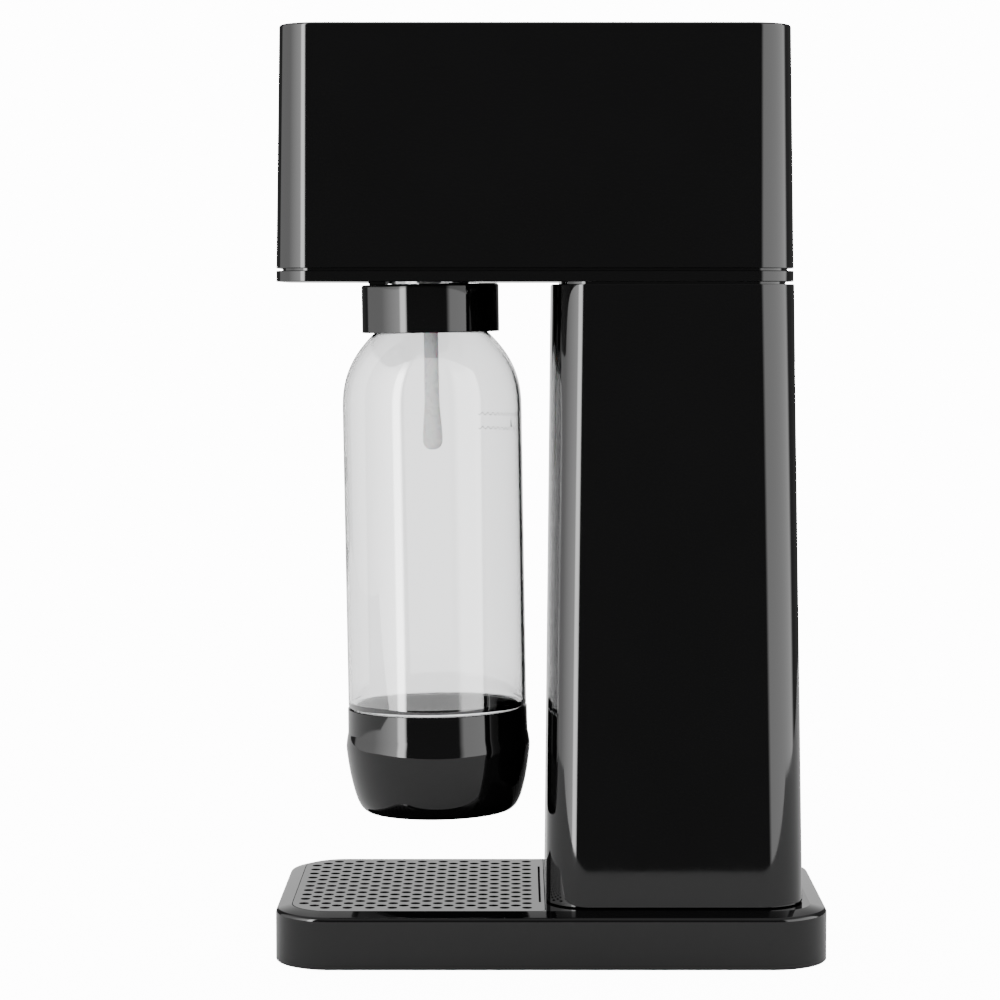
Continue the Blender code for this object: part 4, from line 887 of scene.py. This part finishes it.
def make_fill_marks():
    """Two wavy fill lines printed round a part of the bottle, and the small triangle between them."""
    radius = BOTTLE_RADIUS + PRINT_LIFT
    half_line = FILL_LINE_WIDTH / 2
    bm = bmesh.new()
    for height in FILL_LINES:
        rows = []
        for step in range(FILL_STEPS + 1):
            t = step / FILL_STEPS
            angle = FILL_START + (FILL_END - FILL_START) * t
            z = height + FILL_WAVE * math.sin(2 * math.pi * FILL_WAVES * t)
            x = radius * math.cos(angle)
            y = radius * math.sin(angle)
            rows.append((bm.verts.new((x, y, z - half_line)), bm.verts.new((x, y, z + half_line))))
        for a, b in zip(rows, rows[1:]):
            bm.faces.new((a[0], b[0], b[1], a[1]))
    foot = sum(FILL_LINES) / 2 - MARK_HEIGHT / 2
    corners = []
    for turn, rise in ((-0.5, 0), (0.5, 0), (0, MARK_HEIGHT)):
        angle = MARK_ANGLE + turn * MARK_WIDTH / radius
        corners.append(bm.verts.new((radius * math.cos(angle), radius * math.sin(angle), foot + rise)))
    bm.faces.new(corners)
    marks = lean(new_piece("fill_marks", bm), BOTTLE_OFFSET)
    dress(marks, "bottle", None, print_ink())


def squash_spring(node):
    """Give the spring's node a mesh of its own."""
    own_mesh(frame["nodes"][node])


def squash_springs():
    """Give each of the two springs a mesh of its own."""
    squash_spring("button_spring")
    squash_spring("relief_spring")


# ---- Room, light and camera ------------------------------------------------------------------
def make_floor():
    """A lit white floor, and over it a grey card that only polished faces mirror."""
    corners = box_corners(FLOOR_BACK, FLOOR_FRONT, FLOOR_HALF)
    floor = shape("floor", add_prism, corners, -FLOOR_THICKNESS, 0)
    paper = Finish("floor_paper", Roughness=0.9)
    paper.colour(paper.noise(6.0, 2.0), (0.93, 0.93, 0.93), (0.95, 0.95, 0.95))
    paper.set("Emission Color", (1.0, 1.0, 1.0, 1.0))
    paper.set("Emission Strength", WHITE - FILL)
    floor.data.materials.append(paper.material)
    floor.visible_glossy = False
    floor.visible_diffuse = False
    floor.visible_transmission = False
    corners = box_corners(FLOOR_BACK, FLOOR_CARD, FLOOR_HALF)
    card = shape("floor_card", add_prism, corners, CARD_BOTTOM, CARD_TOP)
    grey = Finish("floor_card", Roughness=0.9)
    grey.colour(grey.noise(6.0, 2.0), (0.66, 0.66, 0.66), (0.70, 0.70, 0.70))
    card.data.materials.append(grey.material)
    card.visible_camera = False
    card.visible_diffuse = False
    card.visible_transmission = False
    card.visible_shadow = False


def box_corners(x0, x1, half):
    """The corners of a rectangle on the floor."""
    return [(x0, -half), (x1, -half), (x1, half), (x0, half)]


def mix_by(nodes, link, switch, off, on):
    """A number that is off, or on where the switch socket is 1; on may be a socket."""
    mix = nodes.new("ShaderNodeMix")
    mix.inputs["Factor"].default_value = 0.0
    link(switch, mix.inputs["Factor"])
    for name, value in (("A", off), ("B", on)):
        if isinstance(value, float):
            mix.inputs[name].default_value = value
        else:
            link(value, mix.inputs[name])
    return mix.outputs["Result"]


def make_world():
    """A white studio; polished faces mirror panels round the compass, and overhead an even ceiling."""
    world = bpy.data.worlds.new("studio")
    world.use_nodes = True
    nodes = world.node_tree.nodes
    link = world.node_tree.links.new
    split = nodes.new("ShaderNodeSeparateXYZ")
    link(nodes.new("ShaderNodeTexCoord").outputs["Generated"], split.inputs["Vector"])
    turn = nodes.new("ShaderNodeMath")
    turn.operation = "ARCTAN2"
    link(split.outputs["Y"], turn.inputs[0])
    link(split.outputs["X"], turn.inputs[1])
    place = nodes.new("ShaderNodeMapRange")
    place.inputs["From Min"].default_value = -math.pi
    place.inputs["From Max"].default_value = math.pi
    link(turn.outputs["Value"], place.inputs["Value"])
    ramp = nodes.new("ShaderNodeValToRGB")
    stops = ramp.color_ramp.elements
    stops.remove(stops[0])
    stops[0].position = 0.0
    stops[0].color = (*[STUDIO[0][1]] * 3, 1.0)
    for angle, grey in STUDIO[1:]:
        stops.new((angle + 180) / 360).color = (grey, grey, grey, 1.0)
    link(place.outputs["Result"], ramp.inputs["Fac"])
    overhead = nodes.new("ShaderNodeMapRange")
    overhead.interpolation_type = "SMOOTHSTEP"
    overhead.inputs["From Min"].default_value = CEILING_FROM
    overhead.inputs["From Max"].default_value = CEILING_TO
    link(split.outputs["Z"], overhead.inputs["Value"])
    compass = mix_by(nodes, link, overhead.outputs["Result"], ramp.outputs["Color"], CEILING)
    mirrored = nodes.new("ShaderNodeMath")
    mirrored.operation = "MULTIPLY"
    mirrored.inputs[1].default_value = MIRRORED
    link(compass, mirrored.inputs[0])
    ray = nodes.new("ShaderNodeLightPath").outputs
    power = mix_by(nodes, link, ray["Is Camera Ray"], FILL, WHITE)
    power = mix_by(nodes, link, ray["Is Glossy Ray"], power, mirrored.outputs["Value"])
    power = mix_by(nodes, link, ray["Is Transmission Ray"], power, THROUGH)
    background = nodes["Background"]
    background.inputs["Color"].default_value = (1.0, 1.0, 1.0, 1.0)
    link(power, background.inputs["Strength"])
    bpy.context.scene.world = world


def make_camera():
    """Looks along -X and a little down, from above the middle of the height."""
    data = bpy.data.cameras.new("camera")
    data.lens = LENS
    data.sensor_width = SENSOR
    data.shift_x = SHIFT
    camera = bpy.data.objects.new("camera", data)
    camera.location = CAMERA_AT
    camera.rotation_euler = (math.radians(90 - CAMERA_DOWN), 0, math.radians(90))
    bpy.context.scene.collection.objects.link(camera)
    bpy.context.scene.camera = camera


dress_cad_nodes()
make_base_shell()
make_drip_grille()
make_tower_shell()
make_head_shell()
make_push_button()
make_head_plate()
make_holder_ring()
make_carbonation_tube()
make_bottle_body()
make_bottle_cup()
make_fill_marks()
squash_springs()
make_floor()
make_world()
make_camera()
